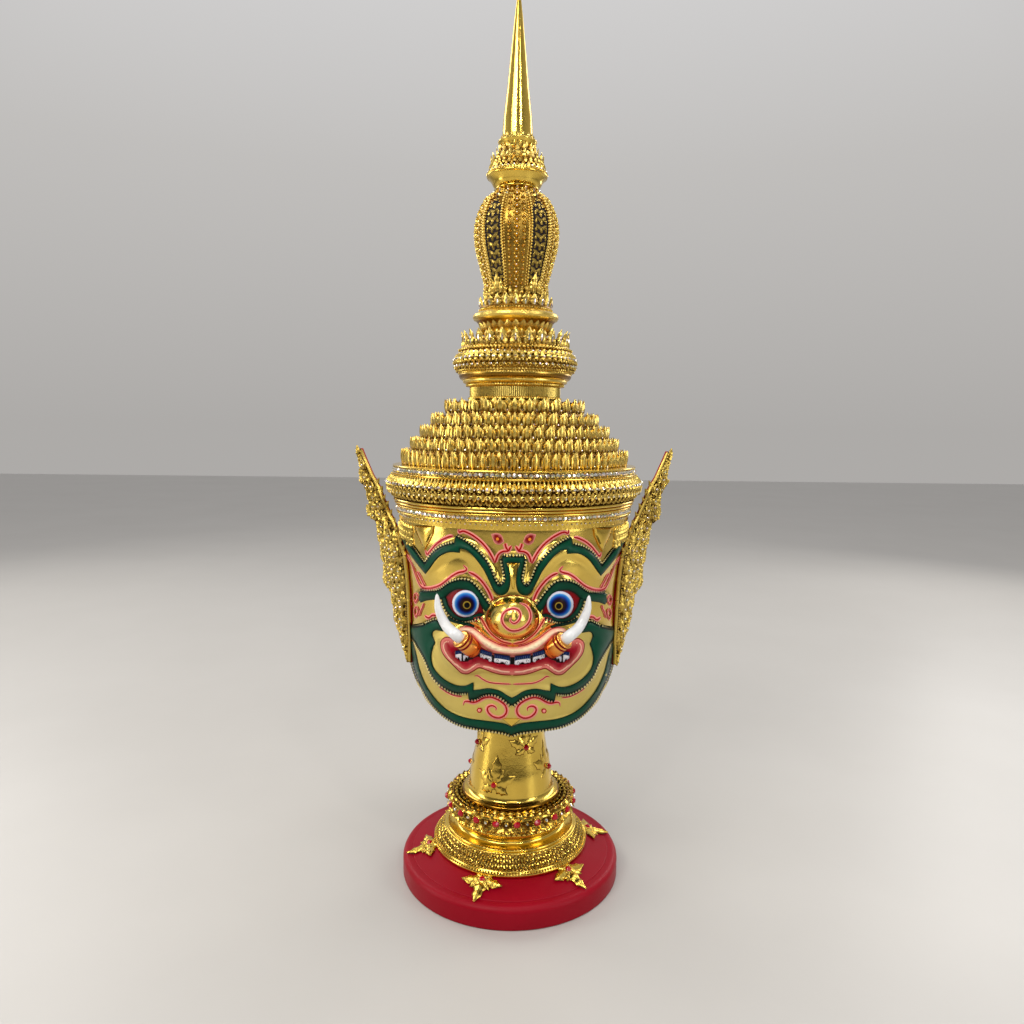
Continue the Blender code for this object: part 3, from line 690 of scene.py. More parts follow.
def curve(*stations):
    """Points of a smooth line through places of the drawing."""
    return smooth_through(stations, 6)


def straight(*stations):
    """Points of a line with corners."""
    return np.array(stations, float)


def joined(*parts):
    """One outline of parts that follow each other."""
    return np.vstack(parts)


def both_sides(half):
    """Whole outline of a half that starts and ends on the middle line."""
    half = np.asarray(half, float)
    return np.vstack([half, mirrored(half[::-1])[1:-1]])


# Edges of the painted bands that have a fringe
BROW_WING = curve((98.4, 179.4), (92.2, 173.6), (85.4, 165.4), (80, 157.9), (76, 152.6))
BROW_CREST = curve((76, 152.6), (69.6, 162), (61, 168.2), (51, 171))
BROW_ARCH = curve((49.7, 177), (38.7, 171), (28.5, 162), (20.8, 152), (16.3, 140.5), (12.2, 134.2),
                  (8.2, 137.2), (7.1, 142), (9, 151.5), (10.2, 158.6))
LID_EDGE = curve((27.5, 106.5), (36, 104), (43, 102.8), (50.4, 104.7), (55.6, 109.2), (59.6, 116), (62, 124))
CHEEK_FOOT = curve((0, 27.9), (3.8, 30.6), (9, 34.8), (16, 37.8), (24, 37.4), (31.7, 33.7), (37.6, 32.6))
CHEEK_SIDE = curve((38.7, 39), (50, 39.1), (61.3, 45), (70, 54.5), (76, 68.5), (82.6, 80.8), (87.7, 89.7),
                   (89.4, 95))
CHEEK_END = curve((89.3, 96.8), (82.4, 97.6), (76.5, 99))
CHEEK_TOP = curve((75.5, 99.9), (71.5, 101.8), (68, 103.4), (65.1, 102.9), (62.5, 98.5), (59.1, 94.5))
JAW_EDGE = curve((0, 0.6), (5.5, 2.9), (12.6, 4.2), (28.3, 6.5), (44.1, 9.7), (58.1, 17), (69.4, 27.9),
                 (77.5, 40.5), (83, 53.1), (86.7, 65.6), (88.3, 77.2), (89.1, 86.1))
# Stations over and under the eye, from its outer and its inner corner
EYE_TOP = ((57.9, 124.1), (54.5, 127.6), (51, 129.8), (46.7, 131.1), (40.7, 130.6), (35.5, 128.4),
           (31.3, 124.1), (28.7, 119.7), (26.1, 114.4))
EYE_FOOT = ((29, 110), (34.8, 107.8), (40.8, 106), (46, 106.5), (51.2, 110), (55.4, 116.2))
# Outlines of the painted fields
BROW = both_sides(joined(
    straight((0, 154.2), (5.4, 154.2)),
    curve((5.4, 154.2), (3, 146), (2.4, 136), (5, 128.3), (11, 125.8), (16, 128.8), (20, 136.7),
          (25.6, 148.1), (33.6, 158.9), (40, 164.6), (45.6, 166.3)),
    curve((46, 162.6), (55.9, 162.8), (64.5, 158.1), (72.3, 147.6), (75.3, 143.7)),
    curve((75.3, 143.7), (80.8, 150.3), (87.6, 159.4), (93.4, 168.4), (98.8, 177.6)),
    BROW_WING, BROW_CREST, BROW_ARCH,
    straight((9.8, 160), (0, 160)),
))
UPPER_LID = joined(
    curve((79.5, 118.8), (74.3, 120.6), (68.3, 121.4), (62.3, 122.3), (57.9, 124.1)),
    curve(*EYE_TOP, (23.5, 111.5)),
    curve((21.8, 113.1), (19.6, 116.4))[:-1],
    curve((19.6, 116.4), (22.7, 120.6), (29.5, 130.2), (36.3, 137.2), (41.5, 138.7), (47, 138.7),
                  (55.2, 135.9), (63, 130.2), (68.2, 128.9)),
    straight((81.1, 128.9), (81.2, 121.4)),
)
LOWER_LID = joined(
    LID_EDGE, curve((57.9, 124.1), *EYE_FOOT[::-1], (25, 109.6)),
)
CHEEK = both_sides(joined(
    CHEEK_FOOT, CHEEK_SIDE, CHEEK_END, CHEEK_TOP,
    curve((60.5, 93.6), (66.9, 94.5), (69.3, 91.2), (67.8, 86.1), (67, 83.5), (68.8, 79), (70.3, 71),
          (68.1, 61.2), (60.4, 52.2), (50.8, 46.6), (42, 45.4), (33.8, 48.6)),
    curve((33.4, 41.6), (28.2, 42.3), (20, 43.4), (10.7, 41.4), (4, 37.2), (0, 35.1)),
))
UNDER_EYE = joined(
    curve((57, 103.5), (50, 101.2), (44, 99.6), (38, 98.6), (33.6, 97.2)),
    curve((33.2, 99.4), (38, 101.4), (44, 102.6), (50, 104), (56, 108)),
)
JAW = both_sides(joined(
    JAW_EDGE,
    curve((86, 84.3), (83.2, 72.8), (79.9, 58.5), (74.4, 45), (65.8, 32.4), (54.5, 22.4), (39.7, 16.5),
          (20.4, 13.8), (9.9, 12.4), (4.6, 11.1), (0, 8.8)),
))
TEMPLE_STRIP = straight((92.1, 112), (88.4, 112), (88.4, 99), (91.8, 99))
UPPER_LIP = both_sides(joined(
    curve((0, 73.6), (9.8, 74.6), (16.7, 76.4), (22.8, 79.3), (28.9, 84.2), (34.9, 90.6), (40.1, 93.4),
          (46.1, 92.8)),
    curve((46.8, 95), (44.4, 97.6), (39.2, 98.1), (34, 96.8), (28.8, 93.2), (22.8, 88.3), (16.7, 84.8),
          (10.7, 82.1), (4.6, 80.8), (0, 80.3)),
))
LOBE = curve((51.4, 86.6), (54.8, 88.3), (58.3, 88.3), (61.8, 85.2), (62.3, 80.8), (61, 75.4), (57.6, 70.1),
             (52.4, 64.7), (48.1, 60.3), (43.8, 56.7), (38.6, 56.2), (34.2, 58.5), (29, 61.6), (23.8, 60.3),
             (16.8, 57.6), (9, 55.8), (0, 55.3))
MOUTH = both_sides(joined(
    LOBE[::-1],
    curve((45.5, 91), (40, 92), (34.9, 89), (28.9, 83), (22.8, 78.4), (16, 75.6), (9, 74), (0, 73.4)),
))
MOUTH_OPENING = both_sides(joined(
    curve((0, 63.4), (9, 63.8), (17.6, 66.5), (24.6, 69.2), (29.8, 71), (34.1, 69.2), (38.5, 66.5),
          (42.9, 65.6), (47.2, 68.3), (50.6, 72.8), (49.7, 77.2)),
    curve((44.5, 78), (37.6, 78.6), (32.3, 84.3), (28.9, 80.8), (22.8, 76.3), (15.9, 73.7), (8.9, 72.3),
          (0, 71.9)),
))
EYE_OPENING = joined(
    curve(*EYE_TOP, (25, 109.6)), curve(*EYE_FOOT),
)
LOZENGE = joined(
    curve((19.2, 179), (14.8, 180), (10.5, 178.4), (7.9, 172.6)),
    curve((7.9, 172.6), (12.2, 170), (16.5, 171.9), (19.2, 179))[:-1],
)
NOSE_WEDGE = straight((4.6, 153.4), (0.9, 131.5), (-0.9, 131.5), (-4.6, 153.4))
CHIN_WEDGE = straight((9, 16.4), (0, 8.6), (-9, 16.4))

# Middle lines of the painting's cords, across and up
PINK_LINES = (
    ((75.5, 165), (73.8, 161.2), (71.2, 163.9), (66.9, 169), (61.7, 173.2), (55.7, 176.2), (50.8, 177.4)),
    ((46.9, 184), (46.4, 180.4), (42.9, 181.4), (36.9, 178.9), (31, 175), (25, 169.4), (20.8, 163.8),
     (17.6, 158), (15.9, 153.5)),
    ((15.6, 154), (14.2, 158.6), (12.2, 162.3), (8.8, 164.2), (4.6, 164.7), (3.2, 167), (1.4, 169.4)),
    ((7.4, 171.6), (6.4, 167.8), (4.6, 165)),
    ((95, 165.5), (92, 161.4), (89.3, 157.2), (86.8, 152.3), (85.2, 147), (83.1, 141), (81, 136),
     (78.5, 132.6), (74.2, 131.4), (69, 132), (63, 134.3), (57.8, 138), (52.6, 142.3), (47.4, 145.3),
     (42.3, 146.6), (40, 148.6), (43.1, 152.4)),
    ((39, 146.4), (32.9, 143.4), (28.1, 139.4), (23.6, 133.8), (20, 127.6), (17.2, 120.6)),
    ((82.6, 146.5), (79.6, 141), (77.1, 135.8), (75.4, 132.6)),
    ((42.4, 27.2), (41.4, 30.9), (37.9, 31.2), (33.5, 30.4), (29.1, 31.9), (24.7, 34.4), (19.5, 35.4),
     (14.2, 34), (9, 31), (5.7, 27.7), (4.4, 23.3), (6.2, 19), (10.8, 16.7), (16, 17.6), (19.9, 20.7),
     (21.4, 24.2), (20.2, 26.8), (16.9, 27.6), (13.8, 25.8), (14, 22.8)),
    ((83.6, 128), (81.8, 123.6), (83.8, 119), (85.4, 123.4), (83.8, 127.6)),
    ((83.4, 116.2), (81.8, 111.4), (83.6, 106.5), (85.2, 111.2), (83.6, 115.8)),
    ((76.9, 118.6), (77.8, 115), (79.6, 110.9), (80.8, 106.5)),
    ((76.2, 107.6), (72.8, 105.4), (69.3, 107.8), (65.9, 107.6)),
)
NOSTRIL_LINE = ((33.1, 101.6), (33.9, 104.7), (31.3, 106.9), (27.9, 106), (25.3, 102.1), (21, 95),
                (15.8, 89.7), (8.9, 85.2), (0, 83.3))
BROWN_LINES = (
    ((19, 115), (21.8, 110.9), (22.7, 103.8), (20.6, 96.8), (15.8, 91.4), (9.8, 87.9), (0, 86.1)),
    ((24.4, 110.9), (22.2, 117.4), (17, 122), (10, 125), (0, 126)),
)
RED_LINES = (
    ((44.4, 97.6), (39.2, 98.3), (34, 97), (28.8, 93.4), (22.8, 88.5), (16.7, 85), (10.7, 82.3), (4.6, 81),
     (0, 80.5)),
    ((33.4, 54), (29.9, 54.4), (25.5, 51.3), (19.4, 48.6), (11.6, 47.7), (0, 47.2)),
    ((64, 44.6), (61.3, 42.6), (56.1, 39), (50, 36.4), (43.1, 35.4)),
)
SPIRAL = ((5.4, 119.7), (11.5, 117), (14.9, 111.8), (15.4, 106.5), (13.2, 101.2), (8.9, 97.2), (3.7, 95),
          (-1.5, 95), (-5.8, 97.6), (-8.8, 101.6), (-9.5, 106.5), (-7.5, 110.9), (-3.6, 113.5),
          (0.7, 114.4), (4.6, 113.1), (6.5, 109.6), (6, 105.6), (3.7, 102.5), (0.7, 101.4), (-1.9, 103.4),
          (-2, 105.6), (-0.4, 106.4))
LIP_PINK = ((46.1, 93.2), (40.1, 94.1), (34.9, 91.4), (28.9, 85.2), (22.8, 80.3), (16.7, 77.2), (9.8, 75.4),
            (0, 74.6))
LIP_RED = ((40.9, 90.6), (34, 86.1), (28.9, 80.8), (22.8, 76.8), (15.9, 74.1), (8.9, 72.8), (0, 72.3))
MOUTH_PALE = ((52.3, 84.3), (58.3, 84.1), (59.6, 79), (56.2, 71.9), (51, 66.2), (45.5, 61.7), (41.2, 59.2),
              (36.8, 60.5), (30.7, 65), (26.3, 64), (15.9, 60.6), (8, 58.6), (0, 58.1))
# The part of the face below the eyes, which has a paler gold
LOWER_FACE = np.array(((-1, 5), (28, 8), (58, 19), (78, 42), (87, 70), (89, 95), (68, 101), (60, 94),
                       (46, 95), (36, 95), (28, 90), (14, 81), (-1, 78)), float)
EYE_CENTRE = np.array((40.8, 118.4))
EYE_HALF = np.array((11.3, 11.5))
PUPIL_CENTRE = np.array((39.2, 116.6))
# Colours of the eye from its middle outwards, by share of its radius
EYE_RINGS = (
    (0.00, BLACK), (0.21, BLACK), (0.23, LEAF_GOLD), (0.29, LEAF_GOLD), (0.31, BLACK), (0.38, rgb(50, 4, 16)),
    (0.46, BLACK), (0.56, rgb(3, 10, 64)), (0.66, rgb(8, 48, 140)), (0.78, rgb(24, 110, 190)),
    (0.85, rgb(90, 158, 220)),
    (0.90, WHITE), (1.00, rgb(226, 222, 240)),
)


def eye(painting):
    """Eyeball with painted rings, and the red corners around it."""
    painting.patch(EYE_OPENING, 0.4, 1.0, (DARK_GREEN, DEEP_RED), base=0.1, blend=1.4)
    share = np.linspace(0.0, 1.0, 26)
    angles = circle(56)
    centre = PUPIL_CENTRE + (EYE_CENTRE - PUPIL_CENTRE) * share[:, None]
    around = np.stack([np.cos(angles), np.sin(angles)], axis=-1)
    flat = centre[:, None, :] + share[:, None, None] * EYE_HALF * around[None, :, :]
    lift = 0.2 + 4.2 * np.sqrt(1 - np.clip(share, 0, 1) ** 2 * 0.99)[:, None] + 0 * angles
    stops = np.array([row[0] for row in EYE_RINGS])
    paints = np.array([row[1] for row in EYE_RINGS])
    colour = np.column_stack([np.interp(share, stops, paints[:, k]) for k in range(3)])
    colour = np.repeat(colour, len(angles), axis=0)
    painting.lay(flat.reshape(-1, 2), lift.ravel(), [grid_faces(len(share), len(angles), True)], colour)
    rim = EYE_CENTRE + EYE_HALF * around
    rim = np.vstack([rim, rim[:1]])
    painting.line(rim, 0.9, 0.7, rgb(214, 205, 230), taper=0.0, base=0.1, curved=False)


def teeth(painting):
    """Front teeth and small corner teeth: white, blue above with pale strokes, and dark curls."""
    groups = (((28.2, 17.6), (78.4, 75.3), (70.6, 67.2)), ((15.9, 1.9), (74.3, 72.2), (66.3, 64.4)),
              ((49.6, 43.8), (76.4, 77.0), (70.2, 67.6)), ((42.8, 36.9), (77.0, 78.0), (67.8, 71.0)))
    for (a, b), (top_a, top_b), (low_a, low_b) in groups:
        wide = a - b
        notch = 0.22 * wide
        middle, low = (a + b) / 2, (low_a + low_b) / 2
        bottom = curve((a, top_a - 3), (a - 0.2, low_a + 0.6), (a - notch, low_a),
                       (middle + 0.14 * wide, low + 0.5), (middle, low + 1.6),
                       (middle - 0.14 * wide, low + 0.5), (b + notch, low_b), (b + 0.2, low_b + 0.6),
                       (b, top_b - 3))
        top = straight((b, top_b), (a, top_a))
        painting.patch(joined(top, bottom), 1.5, 1.0, (rgb(190, 190, 205), WHITE), base=0.9, spacing=1.4)
        deep = 0.5 * (top_a - low_a)
        band = straight((a - 0.1, top_a + 0.2), (b + 0.1, top_b + 0.2), (b + 0.1, top_b - deep),
                        (a - 0.1, top_a - deep))
        painting.patch(band, 0.5, 0.6, (rgb(4, 10, 34), rgb(12, 40, 92)), base=2.2, spacing=1.4)
        for share in np.linspace(0.08, 0.92, max(3, int(wide / 1.6))):
            x, z = a - wide * share, top_a + (top_b - top_a) * share
            painting.line(((x, z - 0.6), (x, z - deep)), 0.4, 0.3, rgb(90, 120, 160), base=2.6, curved=False)
        if wide < 8:
            continue
        for x, z in ((a - notch, low_a + 2.0), (b + notch, low_b + 2.0)):
            turns = np.radians(np.linspace(-60, 330, 12))
            reach = 1.3 * (1 - 0.05 * np.arange(12))
            curl = np.column_stack([x + reach * np.cos(turns), z + reach * np.sin(turns)])
            painting.line(curl, 0.55, 0.3, BLACK, base=2.3, curved=False)


def face_paint():
    """All raised painting on the face: bands, lips, eyes, teeth, cords, fringes and the gilt flaps."""
    painting = Painting()
    green, bare = (DARK_GREEN, GREEN), (BARE, BARE)
    # Fields on both sides, then whole fields: outline, height, width of the edge, colours and their blend
    paired = (
        (UPPER_LID, 1.3, 2.4, green, 1.6), (LOWER_LID, 1.1, 1.8, green, 1.4),
        (UNDER_EYE, 1.0, 1.4, green, None),
        (TEMPLE_STRIP, 0.8, 1.4, green, None), (LOZENGE, 0.8, 1.6, (PALE_PINK, DEEP_RED), 1.5),
    )
    whole = (
        (BROW, 1.5, 2.6, green, 1.6), (CHEEK, 1.4, 2.8, green, 1.6), (JAW, 1.3, 2.6, green, 1.6),
        # The upper lip's cream middle is a painted highlight along its roll
        (UPPER_LIP, 2.0, 3.4, (PINK, rgb(252, 232, 190)), 2.6),
        (MOUTH, 0.9, 2.2, (rgb(226, 130, 118), rgb(158, 10, 36)), 6.5),
    )
    for fields, both in ((paired, True), (whole, False)):
        for outline, height, edge, colours, blend in fields:
            painting.patch(outline, height, edge, colours, both=both, blend=blend)
    painting.patch(MOUTH_OPENING, 0.5, 1.0, (rgb(60, 0, 10), BLACK), base=0.5, both=False, blend=1.0)
    painting.patch(NOSE_WEDGE, 0.8, 1.0, bare, both=False, finish=1)
    painting.patch(CHIN_WEDGE, 1.2, 2.0, bare, both=False, finish=1)
    eye(painting)
    teeth(painting)
    for stations in PINK_LINES:
        painting.cord(stations)
    painting.cord(NOSTRIL_LINE, 3.6, rgb(240, 150, 125), rgb(178, 30, 20))
    for stations in BROWN_LINES:
        painting.line(stations, 1.0, 0.5, rgb(140, 52, 14), taper=0.05)
    for stations in RED_LINES:
        painting.line(stations, 2.3, 0.4, PALE_PINK, taper=0.1)
        painting.line(stations, 1.0, 0.8, RED, taper=0.1)
    painting.cord(SPIRAL, 3.4, both=False)
    painting.line(LIP_PINK, 2.0, 0.9, PINK, base=0.4)
    painting.line(LIP_RED, 1.7, 0.9, rgb(168, 12, 34), base=0.5)
    painting.line(MOUTH_PALE, 2.3, 0.7, rgb(236, 184, 156), taper=0.04, base=0.3)
    painting.line(LOBE, 1.2, 0.9, DEEP_RED, taper=0.02)
    for centre, radius, colour, height, base in (
        ((31.4, 103.4), 1.3, RED, 0.9, 0.0), ((13.8, 174.9), 1.7, ORANGE, 0.9, 0.8),
        ((28.3, 23.3), 2.9, RED, 1.0, 0.0), ((28.3, 23.3), 1.7, PALE_PINK, 1.6, 0.0),
    ):
        painting.dot(centre, radius, colour, height, base)
    edges = (
        BROW_WING, BROW_CREST, BROW_ARCH, straight((9.8, 160), (0.2, 160)),
        curve((19.6, 116.4), (22.7, 120.6), (29.5, 130.2), (36.3, 137.2), (41.5, 138.7), (47, 138.7),
              (55.2, 135.9), (63, 130.2), (68.2, 128.9), (80, 128.9))[::-1],
        LID_EDGE, CHEEK_FOOT, CHEEK_SIDE, CHEEK_TOP, CHEEK_END, JAW_EDGE,
    )
    for edge in edges:
        painting.fringe(edge)
    # Gilt flaps beside the forehead, under the crown
    flap = straight((68.5, 186), (69.5, 179), (73, 171.5), (76.5, 165.5), (79.5, 171.5), (83, 179),
                    (84.5, 186))
    painting.patch(flap, 3.2, 5.0, bare, finish=1)
    painting.line(flap, 1.3, 1.2, BARE, taper=0.02, curved=False, finish=2)
    return painting.shape.build("face_enamel", "mask", "mask_gilt", (ENAMEL, GOLD_SMOOTH, GOLD_RELIEF))


# Finishes


def set_stops(ramp, stops):
    """Give a colour ramp its stops: places, each with a colour or a grey."""
    elements = ramp.color_ramp.elements
    while len(elements) < len(stops):
        elements.new(0.5)
    for element, (position, colour) in zip(elements, stops):
        element.position = position
        element.color = (*colour, 1.0) if isinstance(colour, tuple) else (colour, colour, colour, 1.0)


class Nodes:
    """Short way to build one finish's node tree."""

    def __init__(self, name):
        self.material = bpy.data.materials.new(name)
        self.material.use_nodes = True
        self.tree = self.material.node_tree
        self.shader = self.tree.nodes["Principled BSDF"]

    def set(self, **values):
        for key, value in values.items():
            self.shader.inputs[key.replace("_", " ")].default_value = value
        return self

    def node(self, kind, inputs=None, **values):
        made = self.tree.nodes.new(kind)
        for key, value in values.items():
            setattr(made, key, value)
        for key, value in (inputs or {}).items():
            if isinstance(value, bpy.types.NodeSocket):
                self.tree.links.new(value, made.inputs[key])
            else:
                made.inputs[key].default_value = value
        return made

    def place(self):
        return self.node("ShaderNodeTexCoord").outputs["Object"]

    def paint(self):
        """Each point's colour: its paint, and on gilt relief its painted shade and highlight."""
        return self.node("ShaderNodeAttribute", attribute_name="paint").outputs["Color"]

    def noise(self, scale, detail=4.0, rough=0.6):
        inputs = {"Vector": self.place(), "Scale": scale, "Detail": detail, "Roughness": rough}
        return self.node("ShaderNodeTexNoise", inputs).outputs["Fac"]

    def cells(self, scale, feature="F1"):
        return self.node("ShaderNodeTexVoronoi", {"Vector": self.place(), "Scale": scale}, feature=feature)

    def ramp(self, factor, *stops):
        made = self.node("ShaderNodeValToRGB", {"Fac": factor})
        set_stops(made, stops)
        return made.outputs["Color"]

    def scaled(self, factor, low, high):
        made = self.node("ShaderNodeMapRange", {"Value": factor, "To Min": low, "To Max": high})
        return made.outputs["Result"]

    def mix(self, factor, a, b, blend="MIX"):
        made = self.node("ShaderNodeMix", data_type="RGBA", blend_type=blend)
        for socket, value in ((made.inputs[0], factor), (made.inputs[6], a), (made.inputs[7], b)):
            if isinstance(value, bpy.types.NodeSocket):
                self.tree.links.new(value, socket)
            else:
                socket.default_value = (*value, 1.0) if isinstance(value, tuple) else value
        return made.outputs[2]

    def use(self, **sockets):
        for key, socket in sockets.items():
            self.tree.links.new(socket, self.shader.inputs[key.replace("_", " ")])
        return self

    def bump(self, *layers):
        """Bumps of a height and a depth in metres, one over the other."""
        normal = None
        for height, depth, strength in layers:
            inputs = {"Height": height, "Distance": depth, "Strength": strength}
            if normal:
                inputs["Normal"] = normal
            normal = self.node("ShaderNodeBump", inputs).outputs["Normal"]
        return self.use(Normal=normal)


def gold_leaf(name, light, deep, rough, grain, crinkle, flecks, cast=0.0, metal=1.0):
    """Bright gold leaf: a little patchy, finely crinkled, with thinner spots where the ground shows. The
    grain, crinkle, flecks and cast pattern are strengths."""
    made = Nodes(name).set(Metallic=metal)
    patches = made.noise(38.0, 5.0, 0.65)
    colour = made.mix(made.scaled(patches, 0.1, 1.0), deep, light)
    thin = made.ramp(made.noise(420.0, 3.0, 0.7), (0.60, 0.0), (0.78, flecks))
    colour = made.mix(thin, colour, tuple(value * 0.5 for value in deep))
    fine = made.noise(900.0, 2.0, 0.5)
    layers = [(made.noise(70.0, 5.0, 0.6), 0.0008 * crinkle, 0.6), (fine, 0.00012 * grain, 0.7)]
    if cast:
        # Fine leaf and grain pattern of a pressed relief, with painted shade in its grooves
        cells = made.cells(620.0, "DISTANCE_TO_EDGE").outputs["Distance"]
        groove_shade = made.ramp(cells, (0.01, 1.0), (0.14, 0.0))
        colour = made.mix(groove_shade, colour, tuple(value * 0.3 for value in deep))
        layers.append((made.ramp(cells, (0.0, 0.0), (0.4, 1.0)), 0.0011 * cast, 1.0))
    # The points' painted shade and highlight darken the leaf in the relief's depths
    colour = made.mix(1.0, colour, made.paint(), "MULTIPLY")
    made.use(Base_Color=colour, Roughness=made.scaled(made.noise(160.0, 4.0, 0.6), rough * 0.65, rough * 1.5))
    made.bump(*layers)
    return made.material


GOLD_LIGHT = (0.86, 0.62, 0.125)
GOLD_DEEP = (0.66, 0.41, 0.055)
GOLD_SMOOTH = gold_leaf("smooth_gold_leaf", GOLD_LIGHT, GOLD_DEEP, 0.15, 0.6, 0.5, 0.35)
GOLD_CAST = gold_leaf("gilt_relief", GOLD_LIGHT, (0.66, 0.42, 0.06), 0.22, 1.6, 1.0, 0.5)
GROUND = gold_leaf("gilt_ground", (0.88, 0.66, 0.20), (0.62, 0.40, 0.08), 0.22, 1.0, 0.6, 0.5, 1.0)
# Dark gilt laid under the bell's leaves: a painted shadow round their edges
SHADOW_GILT = gold_leaf("painted_shadow_outline", (0.13, 0.05, 0.012), (0.05, 0.018, 0.006), 0.4, 0.5, 0.3, 0.3)


def paint_finish():
    """Glossy enamel that takes each point's own colour, a little uneven."""
    made = Nodes("enamel").set(Specular_IOR_Level=0.12)
    uneven = made.scaled(made.noise(260.0, 4.0, 0.6), 0.78, 1.12)
    colour = made.mix(1.0, made.paint(), uneven, "MULTIPLY")
    made.use(Base_Color=colour, Roughness=made.scaled(made.noise(90.0), 0.26, 0.46))
    made.bump((made.noise(520.0, 3.0), 0.00012, 0.6))
    return made.material


ENAMEL = paint_finish()


def red_paint(name):
    """Crimson paint, a little cloudy, with fine dust."""
    made = Nodes(name).set(Specular_IOR_Level=0.14)
    cloudy = made.noise(30.0, 5.0, 0.6)
    colour = made.mix(made.scaled(cloudy, 0.2, 0.9), (0.22, 0.0005, 0.006), (0.33, 0.001, 0.013))
    dust = made.ramp(made.noise(700.0, 2.0, 0.8), (0.66, 0.0), (0.8, 0.2))
    colour = made.mix(dust, colour, (0.40, 0.04, 0.05))
    made.use(Base_Color=colour, Roughness=made.scaled(made.noise(120.0), 0.34, 0.52))
    made.bump((made.noise(420.0, 4.0), 0.00025, 0.5))
    return made.material


def glass(name, colour, rough, gloss, coat, shade=0.6):
    """Smooth coloured finish under a clear coat, down to a shade of its colour in places."""
    made = Nodes(name).set(Roughness=rough, Specular_IOR_Level=gloss, Coat_Weight=coat, Coat_Roughness=0.03)
    cloudy = made.scaled(made.noise(300.0, 2.0), 0.0, 1.0)
    made.use(Base_Color=made.mix(cloudy, tuple(value * shade for value in colour), colour))
    return made.material


def foiled_stone():
    """Small clear stone over silver foil."""
    made = Nodes("foiled_stone").set(Metallic=0.85, Roughness=0.06, Coat_Weight=1.0, Coat_Roughness=0.02)
    shade = made.cells(500.0).outputs["Color"]
    made.use(Base_Color=made.mix(0.8, shade, (0.86, 0.78, 0.62)))
    return made.material


def panel_paint():
    """Dull black ground behind the gilt leaves."""
    made = Nodes("dark_panel").set(Specular_IOR_Level=0.12)
    uneven = made.scaled(made.noise(300.0, 4.0), 0.0, 1.0)
    colour = made.mix(uneven, (0.006, 0.004, 0.006), (0.022, 0.015, 0.018))
    made.use(Base_Color=colour, Roughness=made.scaled(made.noise(120.0), 0.45, 0.7))
    return made.material


def paper():
    """Bare brown paper of the inside."""
    made = Nodes("bare_paper").set(Roughness=0.85)
    cloudy = made.scaled(made.noise(60.0, 6.0, 0.7), 0.0, 1.0)
    colour = made.mix(cloudy, (0.16, 0.10, 0.06), (0.30, 0.21, 0.13))
    made.use(Base_Color=colour)
    made.bump((made.noise(150.0, 6.0, 0.7), 0.0008, 0.7))
    return made.material


RED_PAINT = red_paint("crimson_paint")
RUBY = glass("ruby_glass", (0.52, 0.0, 0.012), 0.12, 0.45, 0.15)
STONE = foiled_stone()
PAPER = paper()
GOLD_SKIN = gold_leaf("face_gold_leaf", (0.85, 0.63, 0.145), (0.68, 0.44, 0.075), 0.19, 0.5, 0.55, 0.3)
PALE_GOLD = gold_leaf("pale_gold_paint", (0.70, 0.55, 0.145), (0.58, 0.43, 0.09), 0.42, 0.8, 0.2, 0.15,
                      metal=0.55)
GOLD_ORANGE = gold_leaf("ferrule_gold", (0.95, 0.52, 0.13), (0.80, 0.28, 0.04), 0.2, 0.5, 0.3, 0.3)
IVORY = glass("ivory", (0.80, 0.80, 0.80), 0.2, 0.5, 0.3, 0.88)
GOLD_RELIEF = gold_leaf("bright_gilt_relief", (0.89, 0.66, 0.17), (0.70, 0.47, 0.085), 0.27, 1.2, 0.8, 0.4)
EAR_GILT = gold_leaf("ear_gilt_relief", (0.70, 0.51, 0.11), (0.46, 0.29, 0.05), 0.3, 1.2, 0.8, 0.5)
PANEL = panel_paint()
EAR_RED = red_paint("ear_crimson")
# Dark gilt of the ear's plate between its relief: painted shade in the depths
EAR_SHADED_GROUND = gold_leaf("ear_ground_painted_shade", (0.30, 0.17, 0.05), (0.12, 0.05, 0.015), 0.3, 1.0, 0.6, 0.5, 0.8)


# Mask

HAND = {-1: "left", 1: "right"}
# The face has fine columns up to this angle on both sides, in degrees
FACE_HALF = 86.0
HELMET_ROWS = 135
INNER_ROWS = 14
DOME_ROWS = 11


def dome(signed, radius, rise):
    """Points of the closed top of the helmet, over its sections."""
    turns = np.linspace(0, math.pi / 2, DOME_ROWS + 1)[1:, None]
    return about_axis(radius * np.cos(turns), signed, RIM_Z + DOME_FOOT + rise * np.sin(turns)).reshape(-1, 3)


